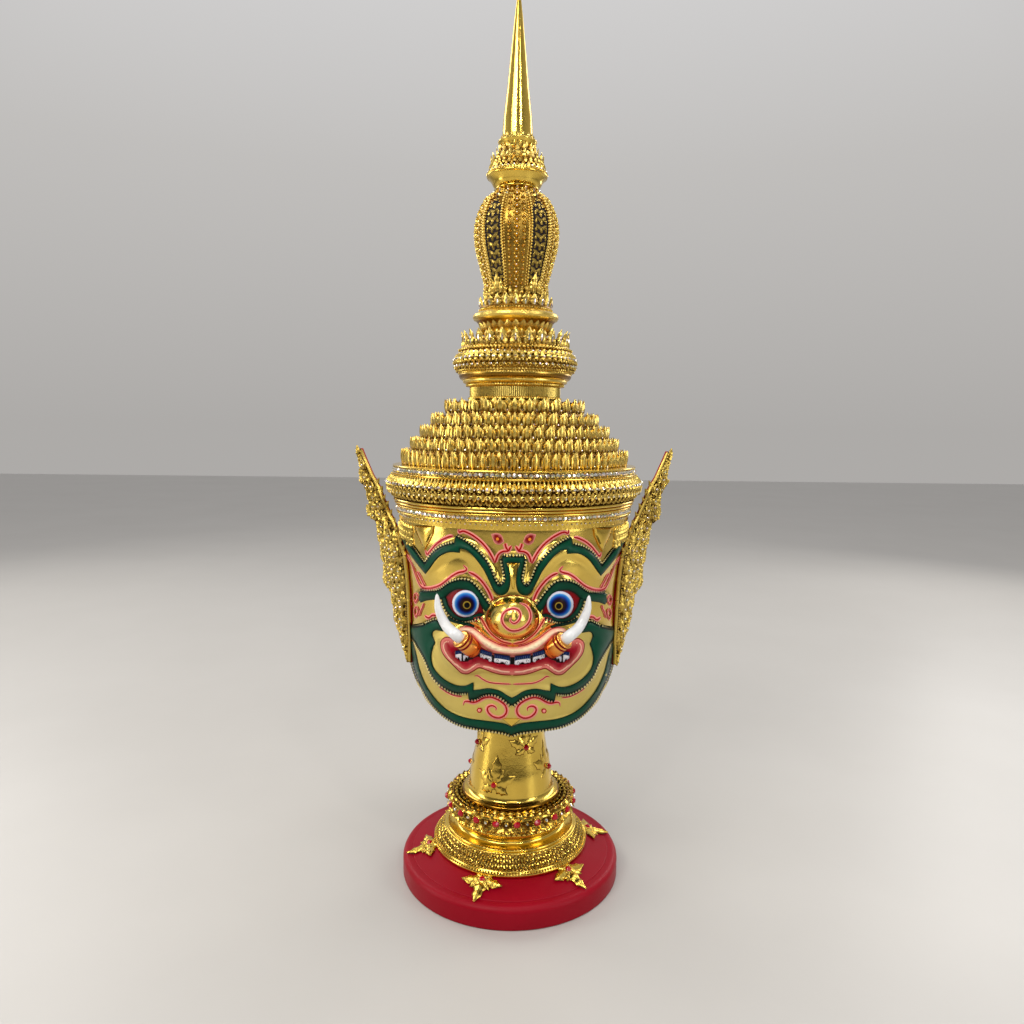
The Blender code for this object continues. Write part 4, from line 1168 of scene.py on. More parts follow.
def helmet():
    """Hollow helmet with the sculpted face in fine relief, bare paper inside."""
    shape = Shape()
    front = np.radians(np.linspace(0, FACE_HALF, 125))
    nape = np.radians(np.linspace(FACE_HALF, 360 - FACE_HALF, 60))[1:-1]
    columns = np.concatenate([front, nape, 2 * math.pi - front[:0:-1]])
    signed = np.where(columns > math.pi, columns - 2 * math.pi, columns)[None, :]
    low = rim_height(signed)
    height = low + np.linspace(0, 1, HELMET_ROWS)[:, None] * (DOME_FOOT - low)
    plain = helmet_radius(signed, height)
    lift = np.zeros_like(plain)
    for _ in range(10):
        places = about_axis(plain + lift, signed, height)
        target = relief_at(*on_sheet(places[..., 0], places[..., 1], height))
        lift = np.where(np.cos(signed) > 0.02, 0.5 * lift + 0.5 * target, 0.0)
    outer = about_axis(plain + lift, signed, RIM_Z + height)
    points = np.vstack([outer.reshape(-1, 3), dome(signed, DOME_RADIUS, DOME_RISE)])
    faces = grid_faces(HELMET_ROWS + DOME_ROWS, len(columns), True)
    middle = points[faces].mean(axis=1)
    flat = np.column_stack(on_sheet(middle[:, 0], middle[:, 1], middle[:, 2] - RIM_Z))
    flat[:, 0] = np.abs(flat[:, 0])
    painted = inside(flat, LOWER_FACE) & (middle[:, 1] < -20)
    shape.add(points, [faces[~painted]], 0)
    shape.add(points, [faces[painted]], 2)
    # The inside, and the rounded rim that joins it to the outside
    height = low + np.linspace(0, 1, INNER_ROWS)[:, None] * (DOME_FOOT - low)
    inner = about_axis(helmet_radius(signed, height) - WALL, signed, RIM_Z + height)
    rim = []
    for turn in np.linspace(0, math.pi, 7):
        share = (1 - math.cos(turn)) / 2
        rim.append(outer[0] * (1 - share) + inner[0] * share - np.array((0, 0, 1.6 * math.sin(turn))))
    shape.add(np.vstack(rim), [grid_faces(len(rim), len(columns), True)], 0)
    points = np.vstack([inner.reshape(-1, 3), dome(signed, DOME_RADIUS - WALL, DOME_RISE - WALL)])
    shape.add(points, [grid_faces(INNER_ROWS + DOME_ROWS, len(columns), True)], 1)
    # Carved leaves beside the forehead, under the crown, and grains where the painted face ends
    carved = leaf(7.4, 11.5, 3.6, 10, 7, curl=0.06, lobes=0.34)
    for side in (-1, 1):
        for row, height in enumerate((158.0, 163.5, 169.0)):
            for turn in np.arange(57.0 + 1.7 * (row % 2), 84, 3.4):
                # Only above the brow, which rises to the side
                if height > 155.5 + 0.33 * (turn - 54.5):
                    on_helmet(shape, carved, side * math.radians(turn), height)
                    on_helmet(shape, sized(GRAIN, 1.2), side * math.radians(turn + 1.7), height + 2.0)
        for height in np.arange(RIM_RISE + 1.5, 66, 2.6):
            on_helmet(shape, sized(GRAIN, 1.6), side * math.radians(84.5), height)
    # Leaves and grains along the rim behind the ears
    for angle in np.radians(np.linspace(87, 273, 84)):
        on_helmet(shape, leaf(6.6, 9.4, 3.0, 7, 5), angle, RIM_RISE + 4.6)
        on_helmet(shape, sized(GRAIN, 1.4), angle, RIM_RISE + 3.2)
    return shape.build("helmet", "mask", "mask_gilt", (GOLD_SKIN, PAPER, PALE_GOLD, GOLD_RELIEF), crease=80)


def on_helmet(shape, form, angle, height):
    """A form laid on the plain part of the helmet."""
    points, faces = form
    turned = angle + points[:, 0] / DOME_RADIUS
    radius = helmet_radius(turned, height + points[:, 2]) + points[:, 1]
    # Painted shade on the form: darker where it meets the helmet
    shape.add(about_axis(radius, turned, RIM_Z + height + points[:, 2]), faces, 3, painted_relief_shade(points))


def face_point(across, up, lift):
    """One point over the plain helmet."""
    return seen_point(np.array([across]), np.array([up]), lift)[0]


FERRULE_LENGTH = 15.0
TUSK_RADIUS = 4.9


def tusk_seat(side):
    """Where a ferrule starts on the face, and the way it points."""
    start = face_point(side * 35.5, 79.5, 12.0)
    way = np.array([side * 0.62, -0.42, 0.66])
    return start, way / np.linalg.norm(way)


def tube(path, radii, segments, way=None, upright=(0.0, 0.0, 1.0)):
    """Points of rings square to a path, or to one way, with the given radii."""
    path = np.array(path, float)
    ahead = np.gradient(path, axis=0) if way is None else np.tile(way, (len(path), 1))
    ahead /= np.linalg.norm(ahead, axis=1, keepdims=True)
    side = np.cross(ahead, upright)
    side /= np.linalg.norm(side, axis=1, keepdims=True)
    up = np.cross(side, ahead)
    angles = circle(segments)
    around = np.cos(angles)[None, :, None] * side[:, None, :] + np.sin(angles)[None, :, None] * up[:, None, :]
    return path[:, None, :] + around * np.asarray(radii, float)[:, None, None]


def ferrule(side):
    """Banded gilt tube at the corner of the mouth."""
    shape = Shape()
    start, way = tusk_seat(side)
    profile = moulded(((0.0, -6.0), (5.6, -6.0, 0.3), (7.6, -2.0, 0.2), (8.1, 2.0), (8.1, 7.8), (8.1, 8.2),
                       (7.6, 8.6), (7.6, 9.6), (8.0, 9.9), (8.0, 10.2), (8.0, 11.6), (8.0, 11.9),
                       (7.5, 12.2), (7.5, 13.0), (7.9, 13.4, 0.7), (7.7, 14.8), (6.2, 15.2), (0.0, 15.0)), 6)
    points = tube([start + way * z for z in profile[:, 1]], profile[:, 0], 40, way)
    faces = grid_faces(len(profile), 40, True)
    heights = np.repeat(profile[:, 1], 40)
    banded = ((heights > 8.1) & (heights < 9.8)) | ((heights > 11.8) & (heights < 12.9))
    red = ((heights > 8.1) & (heights < 10.0)) | ((heights > 11.8) & (heights < 13.2))
    warm = np.clip((heights - 1.0) / 4.0, 0, 1)[:, None]
    colour = np.where(red[:, None], DEEP_RED, np.array((0.75, 0.32, 0.2)) * (1 - warm) + warm)
    shape.add(points, [faces[~banded[faces[:, 0]]]], 0, colour)
    shape.add(points, [faces[banded[faces[:, 0]]]], 1, colour)
    return shape.build(f"ferrule_{HAND[side]}", "mask", "mask_gilt", (GOLD_ORANGE, ENAMEL))


def tusk(side):
    """Curved white tusk in its ferrule."""
    shape = Shape()
    start, way = tusk_seat(side)
    root = start + way * (FERRULE_LENGTH + 0.3)
    places = ((57.5, 99.0, 17.0), (64.0, 113.0, 17.0), (65.5, 127.0, 16.0))
    stations = [root, root + way * 6] + [face_point(side * u, v, lift) for u, v, lift in places]
    path = smooth_through(stations, 10)
    share = np.linspace(0, 1, len(path))
    radii = TUSK_RADIUS * 1.04 * np.sqrt(np.clip(1 - share**2.1, 0, 1)) + 0.02
    shape.add(tube(path, radii, 28), [grid_faces(len(path), 28, True)])
    return shape.build(f"tusk_horn_{HAND[side]}", f"tusk_{HAND[side]}", "tusk_white", (IVORY,))


# Stand and base


def base():
    """Round base with a rounded shoulder and a fine step."""
    shape = Shape()
    edge = BASE_RADIUS
    profile = moulded((
        (0, 0), (edge - 1.5, 0, 0.4), (edge, 1.5), (edge, 16.0, 0.42), (edge - 6.5, 22.0), (100.6, 22.1, 0.4),
        (99.6, 22.9), (79.0, BASE_TOP - 0.1), (77.6, BASE_TOP), (0, BASE_TOP),
    ), 10)
    shape.lathe(profile, 256)
    return shape.build("base_turned", "base_disc", "base_paint", (RED_PAINT,), crease=30)


# Profile of the bell: radius, height over the stand's foot, and bulge
BELL = ((41.6, 72, 0.04), (39.1, 85), (36.5, 98), (34.5, 110), (31, 135))
# Turn from the front and height over the stand's foot of each flower on the bell, with its size
BELL_FLOWERS = ((-23, 74, 1.55), (24, 110, 1.15), (-66, 108, 1.1), (66, 84, 1.45), (118, 108, 1.2),
                (160, 76, 1.5), (212, 106, 1.2), (256, 76, 1.5))


def stand():
    """Flange with a cast band, collar with red stones, bell with flowers, and the column in the helmet."""
    shape = Shape(STAND_FOOT)
    flange = ((0, 0), (77.0, 0), (77.6, 0.8, 0.5), (77.6, 4.8), (76.4, 6.4))
    shape.lathe(moulded(flange, 5), 144, 0)
    band = np.array(((76.4, 6.4), (74.0, 9.6), (70.5, 13.6), (67.2, 17.2)))
    # Softened painted shade on the band's ground between its cast leaves
    shape.lathe(band, 144, 2, shade=0.4 + 0.6 * shaded(band, (7, 17)))
    outline = (
        (67.2, 17.2), (67.4, 17.6, 0.8), (65.8, 19.4), (65.0, 19.6, 0.8), (63.4, 20.6), (57.4, 20.4),
        (55.4, 21.2, -0.5), (55.0, 26.6), (57.0, 28.0, 0.45), (59.4, 31.0, 0.3), (59.2, 34.4), (58.4, 35.2),
        (59.6, 36.4), (63.0, 43.4), (63.4, 48.4, 0.2), (61.4, 52.2), (60.4, 51.0, 0.8), (57.6, 51.6),
        (50.0, 50.6), (47.8, 50.4, 0.85), (47.2, 56.4), (44.8, 57.2), (43.6, 58.6), (42.9, 60.6),
        (42.7, 62.0), *BELL, (26, 188), (26, 370), (38.6, 397), (39.4, 408), (30, 412), (0, 417.6),
    )
    outline = moulded(outline, 5)
    # Painted shade on the ground under the leaves above the collar
    shape.lathe(outline, 128, shade=shaded(outline, (50.5, 56.0)))
    for count, radius, height, size in ((168, 77.5, 4.8, 1.3), (150, 75.8, 7.4, 1.1), (120, 67.0, 18.2, 1.05),
                                        (110, 63.6, 20.6, 1.0)):
        shape.ring(ball(4, 8), count, radius, height, size=size)
    # Cast band on the flange: rows of small leaves, stones and grains that follow its slope
    for count, radius, height in ((84, 74.4, 8.0), (78, 71.2, 11.6), (72, 68.4, 14.8)):
        small = leaf(4.4, 4.8, 1.2, 6, 5)
        shape.ring(small, count, radius, height, lean=-0.72)
        shape.ring(leaf(3.6, 4.0, 1.2, 6, 5), count, radius - 0.8, height + 1.0, turn=math.pi / count,
                   lean=-0.72)
        shape.ring(GRAIN, count, radius + 0.9, height + 0.6, turn=math.pi / count, size=0.8)
    # Collar: red stones in round settings, rosettes between them, and leaves above and below
    stones = 20
    step = 2 * math.pi / stones
    turn = math.radians(5.5)
    at = 46.6
    band = np.array(((59.2, 35.8), (63.2, 43.4), (63.6, 48.4), (61.6, 52.2)))
    # Painted shade on the collar's ground between its stones and leaves
    shape.lathe(band, 144, 2, shade=shaded(band, (36, 54)))
    shape.ring(ball(5, 12), stones, 62.2, at, turn=turn, size=4.0)
    shape.ring(stone(8, 0.6, 0.5), stones, 65.7, at, turn=turn, size=3.3, finish=1)
    for a in circle(11):
        shape.ring(GRAIN, stones, 64.4, at + 4.2 * math.sin(a), turn=turn + 4.2 * math.cos(a) / 64, size=0.9)
    shape.ring(ball(4, 10), stones, 62.6, at - 0.4, turn=turn + step / 2, size=2.6)
    shape.ring(stone(8, 0.8, 0.5), stones, 64.9, at - 0.4, turn=turn + step / 2, size=1.6, finish=3,
               loose=0.2)
    shape.ring(leaf(7.4, 7.6, 2.0, 9, 5, lobes=0.25), 2 * stones, 62.8, at - 2.6, turn=turn + step / 4,
               lean=math.pi - 0.45)
    shape.ring(leaf(6.4, 6.6, 1.8, 9, 5, lobes=0.25), 2 * stones, 63.2, at + 1.6, turn=turn + step / 4,
               lean=-0.36)
    shape.ring(leaf(5.0, 5.8, 1.4, 7, 5), 4 * stones, 60.6, at - 7.6, turn=turn, lean=math.pi - 0.4)
    for count, radius, height in ((52, 61.4, 4.0), (48, 57.2, 4.8), (44, 53.0, 4.2)):
        over = leaf(6.6, 6.4, 1.9, 9, 5, lobes=0.25)
        shape.ring(over, count, radius, at + height, lean=-1.25)
        shape.ring(GRAIN, count, radius - 0.6, at + height + 1.0, turn=math.pi / count, size=1.2)
    shape.ring(GRAIN, 5 * stones, 60.0, at - 11.4, size=0.9)
    for turn, height, size in BELL_FLOWERS:
        flower(shape, math.radians(turn), height, size)
    return shape.build("stand_turned", "stand", "stand_gilt", (GOLD_SMOOTH, RUBY, GROUND, STONE, SHADOW_GILT))


def bell_radius(height):
    """Radius of the bell at a height over the stand's foot."""
    radii, heights = zip((42.8, 61), *(station[:2] for station in BELL))
    return np.interp(height, heights, radii)


def flower(shape, turn, height, size):
    """Flower of thin leaves laid on the bell, with a painted shadow round their edges, and a red stone."""
    centre = bell_radius(height)

    def lay_leaf(way, reach, wide, root, thick, lift, finish):
        points, faces = leaf(wide, reach, thick, 13, 7, lobes=0.34)
        along = points[:, 2] + root
        beside = points[:, 0] + 0.9 * np.sin(along / reach * 2.4) * math.copysign(1, math.cos(way) or 1)
        across = along * math.cos(way) + beside * math.sin(way)
        up = along * math.sin(way) - beside * math.cos(way)
        angle = turn + across / centre
        radius = bell_radius(height + up) + points[:, 1] + lift
        # Half-strength painted shade on each leaf: darker where it meets the bell
        shape.add(about_axis(radius, angle, STAND_FOOT + height + up), faces, finish,
                  0.5 + 0.5 * painted_relief_shade(points))

    for way, reach, wide in ((90, 16.5, 9.5), (25, 14.0, 8.5), (155, 14.0, 8.5), (-30, 9.0, 6.5),
                             (210, 9.0, 6.5), (60, 10, 5), (120, 10, 5)):
        # A larger dark leaf under each leaf is a painted shadow round its edge
        lay_leaf(math.radians(way), size * reach + 1.0, size * wide + 1.8, 1.6, 0.5, 0.05, 4)
        lay_leaf(math.radians(way), size * reach, size * wide, 2.0, 0.9, 0.25, 0)
    shape.ring(ball(4, 10), 1, centre + 0.4, height, turn=turn, size=3.2)
    shape.ring(stone(8, 0.7, 0.5), 1, centre + 2.9, height, turn=turn, size=2.8, finish=1)


def foot_leaf(index):
    """Trefoil leaf with a red stone, lying on the slope of the base."""
    shape = Shape()
    start = 78.2
    slope = math.atan2(8.0, 26.3)
    turn = math.radians(60 * index - 108)

    def lay(along, beside, up, faces, finish=0, colour=(1, 1, 1)):
        """Points on the base's slope, by their way along it, beside it and out of it."""
        radius = start + along * math.cos(slope) + up * math.sin(slope)
        height = BASE_TOP - along * math.sin(slope) + up * math.cos(slope)
        x = radius * math.cos(turn) - beside * math.sin(turn)
        y = radius * math.sin(turn) + beside * math.cos(turn)
        shape.add(np.column_stack([x, y, height]), faces, finish, colour)

    parts = (
        (0, 5.0, 25.5, 14.0), (84, 3.0, 21.5, 14.5), (-84, 3.0, 21.5, 14.5), (42, 5.0, 13.5, 10.0),
        (-42, 5.0, 13.5, 10.0), (138, 2.0, 12.0, 11.0), (-138, 2.0, 12.0, 11.0),
    )
    for way, root, reach, width in parts:
        points, faces = leaf(width, reach, 3.4, 15, 9, curl=0.06, lobes=0.34)
        a = math.radians(way)
        out = points[:, 2] + root - 4.0
        bend = math.copysign(1.6, way) if abs(way) > 50 else 0.0
        bent = points[:, 0] - bend * np.sin(points[:, 2] / reach * 2.2)
        along = 3.6 + out * math.cos(a) - bent * math.sin(a)
        beside = out * math.sin(a) + bent * math.cos(a)
        # Painted shade on each lobe: darker where it meets the base
        lay(along, beside, points[:, 1] + 0.9, faces, colour=painted_relief_shade(points))
    points, faces = ball(5, 12)
    lay(5.0 + points[:, 0] * 4.8, points[:, 1] * 4.8, 1.4 + points[:, 2] * 2.8, faces)
    points, faces = stone(8, 0.8, 0.5)
    lay(5.0 + points[:, 0] * 3.0, points[:, 2] * 3.0, 3.8 + points[:, 1] * 2.0, faces, 1)
    points, faces = sized(GRAIN, 0.8)
    for a in circle(12):
        lay(5.0 + 4.6 * math.cos(a) + points[:, 0], 4.6 * math.sin(a) + points[:, 1], 2.6 + points[:, 2],
            faces)
    return shape.build(f"base_leaf_{index + 1}", f"foot_leaf_{index + 1}", "leaf_gilt", (GOLD_CAST, RUBY))


# Crown


# Height of a bud's widest place, as a share
BUD_WAIST = 0.4


def bud(width, height, depth, rings=7, sides=8):
    """Closed lotus bud that stands up from 0, pointed at its top."""
    up = np.linspace(0, 1, rings + 1)
    half = np.sin(math.pi * up ** (math.log(0.5) / math.log(BUD_WAIST))) ** 0.75
    half = np.maximum(half, (1 - up) * 0.45)
    half[-1] = 0.0
    angles = circle(sides)
    x = half[:, None] * np.cos(angles) * width / 2
    y = half[:, None] * np.sin(angles) * depth / 2
    points = np.stack([x, y, up[:, None] * height + 0 * x], axis=-1).reshape(-1, 3)
    return points, [grid_faces(rings + 1, sides, True), [list(range(sides))]]


def scroll(width, thickness, turns=1.3, sides=5, steps=16):
    """Small curl of wire that lies upright and faces outwards."""
    share = np.linspace(0, 1, steps)
    angle = 2 * math.pi * turns * share
    reach = width / 2 * (1 - 0.8 * share)
    path = np.column_stack([reach * np.cos(angle), 0.6 * thickness * share, reach * np.sin(angle)])
    radii = thickness / 2 * (1 - 0.35 * share)
    points = tube(path, radii, sides, upright=(0.0, 1.0, 0.0)).reshape(-1, 3)
    ends = [list(range(sides)), list(range((steps - 1) * sides, steps * sides))]
    return points, [grid_faces(steps, sides, True), ends]


def chips(shape, count, radius, height, size, turn=0.0, loose=0.4):
    """Small clear stones, each set a little askew."""
    shape.ring(CHIP, count, radius, height, turn, size=size, finish=1, loose=loose)


def stone_row(shape, count, radius, height, size):
    """Cut stones side by side, with grains in the gaps above and below."""
    shape.ring(stone(8, 0.62, 0.5), count, radius, height, size=size, finish=1, loose=0.16)
    for way in (-1, 1):
        shape.ring(GRAIN, count, radius - 0.1, height + way * size * 0.95, turn=math.pi / count,
                   size=0.42 * size)


# Leaf tiers of the crown from the lowest: leaves, radius, foot over the crown's foot and leaf height
TIERS = (
    (76, 108.8, 52.2, 14.6),
    (64, 99.8, 66.0, 12.2),
    (54, 90.6, 77.4, 12.4),
    (44, 80.2, 88.6, 12.8),
    (32, 66.8, 101.6, 12.8),
)


def crown_bands():
    """Fringe, stone bands, rings and the wide torus with its flames and hanging leaves."""
    shape = Shape(CROWN_FOOT)
    # Each ring is darkened with painted shade where stones and leaves cover its ground
    plain = moulded(
        ((111.9, 4.0), (111.9, 0.6), (112.5, 0.4), (113.1, 6.6), (114.7, 6.8, 0.8), (114.9, 8.4),
         (113.5, 8.8), (113.7, 12.6), (115.6, 12.8, 0.8), (115.7, 14.4), (114.7, 14.8), (116.4, 15.2, 0.9),
         (116.6, 17.2), (115.3, 17.7), (117.3, 18.0, 0.9), (117.5, 20.4), (116.0, 20.9)), 5)
    shape.lathe(plain, 180, 2, shade=shaded(plain, (0.5, 6), (8.9, 12.5)))
    torus = moulded(((116.0, 20.9, -0.1), (118.4, 23.4, 0.1), (121.4, 27.2, 0.12), (122.4, 32.6, 0.12),
                     (120.6, 38.0, 0.14), (118.4, 42.6)), 4)
    shape.lathe(torus, 180, 3, shade=shaded(torus, (20, 50)))
    upper = moulded(((119.0, 42.6), (118.4, 43.0, 0.8), (118.6, 44.9), (116.7, 45.3), (116.7, 49.7),
                     (118.0, 50.0, 0.8), (117.8, 51.5), (114.8, 51.9), (110.0, 52.4)), 4)
    shape.lathe(upper, 180, 2, shade=shaded(upper, (45.2, 49.8)))
    stone_row(shape, 160, 114.6, 10.7, 2.05)
    stone_row(shape, 156, 117.5, 47.5, 2.25)
    count = 104
    step = math.pi / count
    shape.ring(leaf(7.2, 10.4, 3.0, 9, 7, curl=0.05, lobes=0.25), count, 123.4, 32.6, lean=-0.40)
    chips(shape, count, 124.8, 35.8, 1.35)
    shape.ring(bud(2.6, 6.6, 2.8, 4, 6), count, 122.4, 36.6, turn=step, lean=-0.45)
    chips(shape, count, 123.4, 35.2, 1.0, step)
    shape.ring(GRAIN, 2 * count, 119.6, 42.2, size=1.15)
    shape.ring(GRAIN, 2 * count, 124.6, 32.0, size=0.95)
    shape.ring(leaf(5.2, 6.4, 1.6, 6, 5), count, 124.4, 31.6, turn=step, lean=math.pi + 0.12)
    shape.ring(scroll(4.6, 1.3, 1.2, 4, 10), count, 123.6, 28.4, lean=0.3)
    chips(shape, count, 124.0, 28.2, 1.1, loose=0.35)
    shape.ring(leaf(5.6, 6.4, 1.6, 6, 5), count, 121.9, 26.4, lean=math.pi + 0.62)
    shape.ring(GRAIN, 2 * count, 119.6, 23.0, size=0.85)
    # Fringe of small pointed leaves against the helmet
    shape.ring(leaf(4.9, 6.6, 1.6, 6, 5), 150, 113.0, 7.0, lean=math.pi + 0.04)
    chips(shape, 150, 113.6, 5.2, 0.8)
    shape.ring(leaf(3.4, 5.0, 1.0, 5, 3), 150, 112.7, 6.0, turn=math.pi / 150, lean=math.pi + 0.04)
    return shape.build("crown_bands", "crown", "crown_gilt", (GOLD_RELIEF, STONE, GOLD_SMOOTH, GROUND),
                       crease=32)


def crown_tiers():
    """Five tiers of lotus leaves, each leaf a plump bud with two smaller ones before a flat leaf."""
    shape = Shape(CROWN_FOOT)
    bands = [(110.6, 52.2)]
    for _, radius, low, tall in TIERS:
        bands += [(radius - 0.4, low - 0.4), (radius - 2.6, low + 2.0, -0.3),
                  (radius - 4.4, low + 0.75 * tall)]
    bands += [(48.0, 112.8), (30.0, 113.9), (0.0, 113.9)]
    walls = moulded(bands, 4)
    # Painted shade on the walls behind the leaves
    shape.lathe(walls, 160, shade=shaded(walls, (51, 112)))
    for count, radius, low, tall in TIERS:
        pitch = 2 * math.pi * radius / count
        step = math.pi / count
        shape.ring(leaf(pitch * 0.94, tall * 0.86, 1.6, 8, 5, curl=0.06), count, radius - 1.6, low, lean=0.02)
        shape.ring(bud(pitch * 0.46, tall, 3.2, 7, 8), count, radius + 0.4, low, lean=0.05, loose=0.035)
        for way in (-1, 1):
            beside = bud(pitch * 0.26, tall * 0.68, 2.2, 4, 6)
            shape.ring(beside, count, radius + 0.6, low + 0.4, turn=way * 0.62 * step, lean=0.04, loose=0.05)
        shape.ring(leaf(pitch * 0.7, tall * 0.92, 1.6, 7, 5, curl=0.04), count, radius - 3.4, low + 1.6,
                   turn=step)
        chips(shape, count, radius + 0.2, low + 1.6, 1.15, step, loose=0.35)
        shape.ring(GRAIN, 2 * count, radius + 0.2, low - 0.6, size=0.85)
    return shape.build("crown_tiers", "crown", "crown_gilt", (GOLD_RELIEF, STONE), crease=32)


# Spire


def spire():
    """Ribbed neck, wide torus, ledge and leaves below the bulb; cup, calyx and smooth cone above it."""
    shape = Shape(SPIRE_FOOT)
    outline = (
        (40.0, 0), (44.4, 0.0, 0.7), (44.6, 1.6), (43.4, 1.8), (43.4, 11.6), (46.2, 12.2, 0.7),
        (46.8, 14.4), (49.0, 15.2, 0.5), (50.6, 18.2), (52.0, 18.6, 0.35), (54.6, 24.2), (54.0, 25.2),
        (55.6, 26.0, 0.1), (57.2, 31.6, 0.12), (57.4, 37.0, 0.12), (53.6, 43.6), (52.4, 46.4), (52.2, 49.4),
        (48.2, 50.4), (45.6, 53.0), (40.0, 56.0, -0.2), (28.0, 61.6), (27.0, 63.8, -0.15), (32.8, 67.0),
        (33.8, 69.6, -0.1), (37.2, 73.6), (38.4, 75.0, 0.8), (39.4, 81.4), (36.4, 82.6), (34.2, 84.6, 0.8),
        (34.0, 87.2), (30.6, 89.0), (27.4, 98), (29.5, 113), (31.2, 120),
    )
    outline = moulded(outline, 4)
    # Heights that relief covers, darkened with painted shade
    relief = ((19, 24), (26, 51), (62, 74), (84.6, 119))
    shape.lathe(outline, 128, shade=shaded(outline, *relief))
    cup = ((18.0, 195.6), (19.2, 196.8, 0.8), (20.4, 198.0), (21.4, 199.0, 0.15), (24.0, 203.4),
           (26.4, 206.4, -0.1), (27.6, 207.8, 0.9), (28.2, 210.0), (27.4, 211.8))
    shape.lathe(moulded(cup, 6), 128, 2)
    top = (
        (27.4, 211.8), (25.8, 214.4), (24.6, 217.4), (23.2, 221.4), (21.0, 224.4), (20.4, 225.2, 0.9),
        (19.8, 227.2), (17.2, 228.8), (16.6, 231.6, -0.2), (15.4, 234.2), (15.6, 235.0, -0.15),
        (17.4, 238.0), (17.8, 239.2, 0.8), (17.0, 241.6), (15.4, 242.2), (15.0, 244.6), (14.6, 246),
        (13.6, 261), (10.5, 287), (7.3, 320), (4.2, 350), (2.1, 367), (1.0, 374), (0.45, 378), (0, 379),
    )
    top = moulded(top, 4)
    # Painted shade under the petals and the calyx
    shape.lathe(top, 80, 2, shade=shaded(top, (212, 224), (226.5, 234)))
    bead = ball(3, 8)
    ribs = 138

    def fluted(angles):
        return 0.55 * np.abs(np.sin(ribs * angles / 2)) - 0.2

    # The fluted neck is darkened evenly: painted shade in its flutes
    shape.lathe(np.array([(43.0, 1.6), (43.8, 2.2), (43.8, 11.2), (43.0, 11.8)]), ribs * 4, 0, fluted,
                np.full((4, 3), 0.72))
    shape.ring(bead, 110, 44.8, 0.9, size=1.15)
    shape.ring(bead, 116, 47.0, 13.4, size=1.2)
    shape.ring(bead, 130, 54.6, 24.8, size=1.0)
    # Wide torus: bright leaves and stones above, hanging leaves below
    count = 56
    step = math.pi / count
    torus_leaf = leaf(7.4, 9.6, 2.4, 10, 7, curl=0.04, lobes=0.25)
    shape.ring(torus_leaf, count, 58.9, 34.8, lean=-0.36)
    chips(shape, count, 59.4, 37.6, 1.5, loose=0.35)
    shape.ring(torus_leaf, count, 57.4, 39.6, turn=step, size=0.8, lean=-0.72)
    chips(shape, count, 57.0, 42.4, 1.1, step)
    shape.ring(bead, 2 * count, 59.6, 34.4, size=1.2)
    shape.ring(leaf(7.2, 8.4, 2.2, 10, 7, lobes=0.25), count, 59.0, 34.4, turn=step, lean=math.pi + 0.30)
    chips(shape, count, 59.2, 31.0, 1.3, step)
    shape.ring(scroll(4.4, 1.2, 1.2, 4, 9), count, 58.2, 29.6, lean=0.2)
    shape.ring(bead, 2 * count, 57.0, 26.6, size=0.95)
    shape.ring(bead, 96, 54.4, 46.6, size=1.2)
    shape.ring(leaf(4.4, 4.8, 1.4, 7, 5), 84, 53.2, 46.4, lean=-0.9)
    # Upright leaves on the ledge, each with a long stone
    count = 26
    step = math.pi / count
    shape.ring(leaf(11.6, 15.0, 2.8, 13, 9, curl=0.16, lobes=0.34), count, 48.0, 50.0, lean=0.20)
    shape.ring(bud(2.4, 6.6, 2.2, 4, 6), count, 50.6, 52.4, finish=1, lean=0.2)
    shape.ring(leaf(8.0, 12.5, 2.0, 10, 5, curl=0.10, lobes=0.3), count, 46.0, 50.6, turn=step, lean=0.12)
    shape.ring(leaf(5.2, 6.0, 1.8, 8, 5, lobes=0.2), 2 * count, 50.8, 49.4, turn=step / 2, lean=0.1)
    shape.ring(bead, 72, 51.4, 49.8, size=1.0)
    # Lotus mould under the shining ring
    shape.ring(leaf(7.6, 13.0, 1.8, 9, 7, curl=0.10), 30, 30.4, 62.4, lean=0.42)
    shape.ring(leaf(6.6, 12.0, 1.4, 8, 5, curl=0.10), 30, 29.6, 62.8, turn=math.pi / 30, lean=0.42)
    shape.ring(bead, 84, 35.0, 84.6, size=1.0)
    # Two rows of leaves round the foot of the bulb
    shape.ring(leaf(8.6, 12.0, 2.4, 12, 7, curl=0.12, lobes=0.3), 24, 32.4, 85.4, lean=0.16)
    shape.ring(bud(2.2, 5.6, 2.0, 4, 6), 24, 34.4, 87.0, finish=1, lean=0.2)
    shape.ring(leaf(7.2, 11.0, 2.0, 12, 7, curl=0.02, lobes=0.3), 24, 30.4, 86.4, turn=math.pi / 24, lean=0.0)
    shape.ring(leaf(5.6, 9.0, 2.0, 10, 5, curl=0.02, lobes=0.3), 30, 28.4, 95.0, lean=0.02)
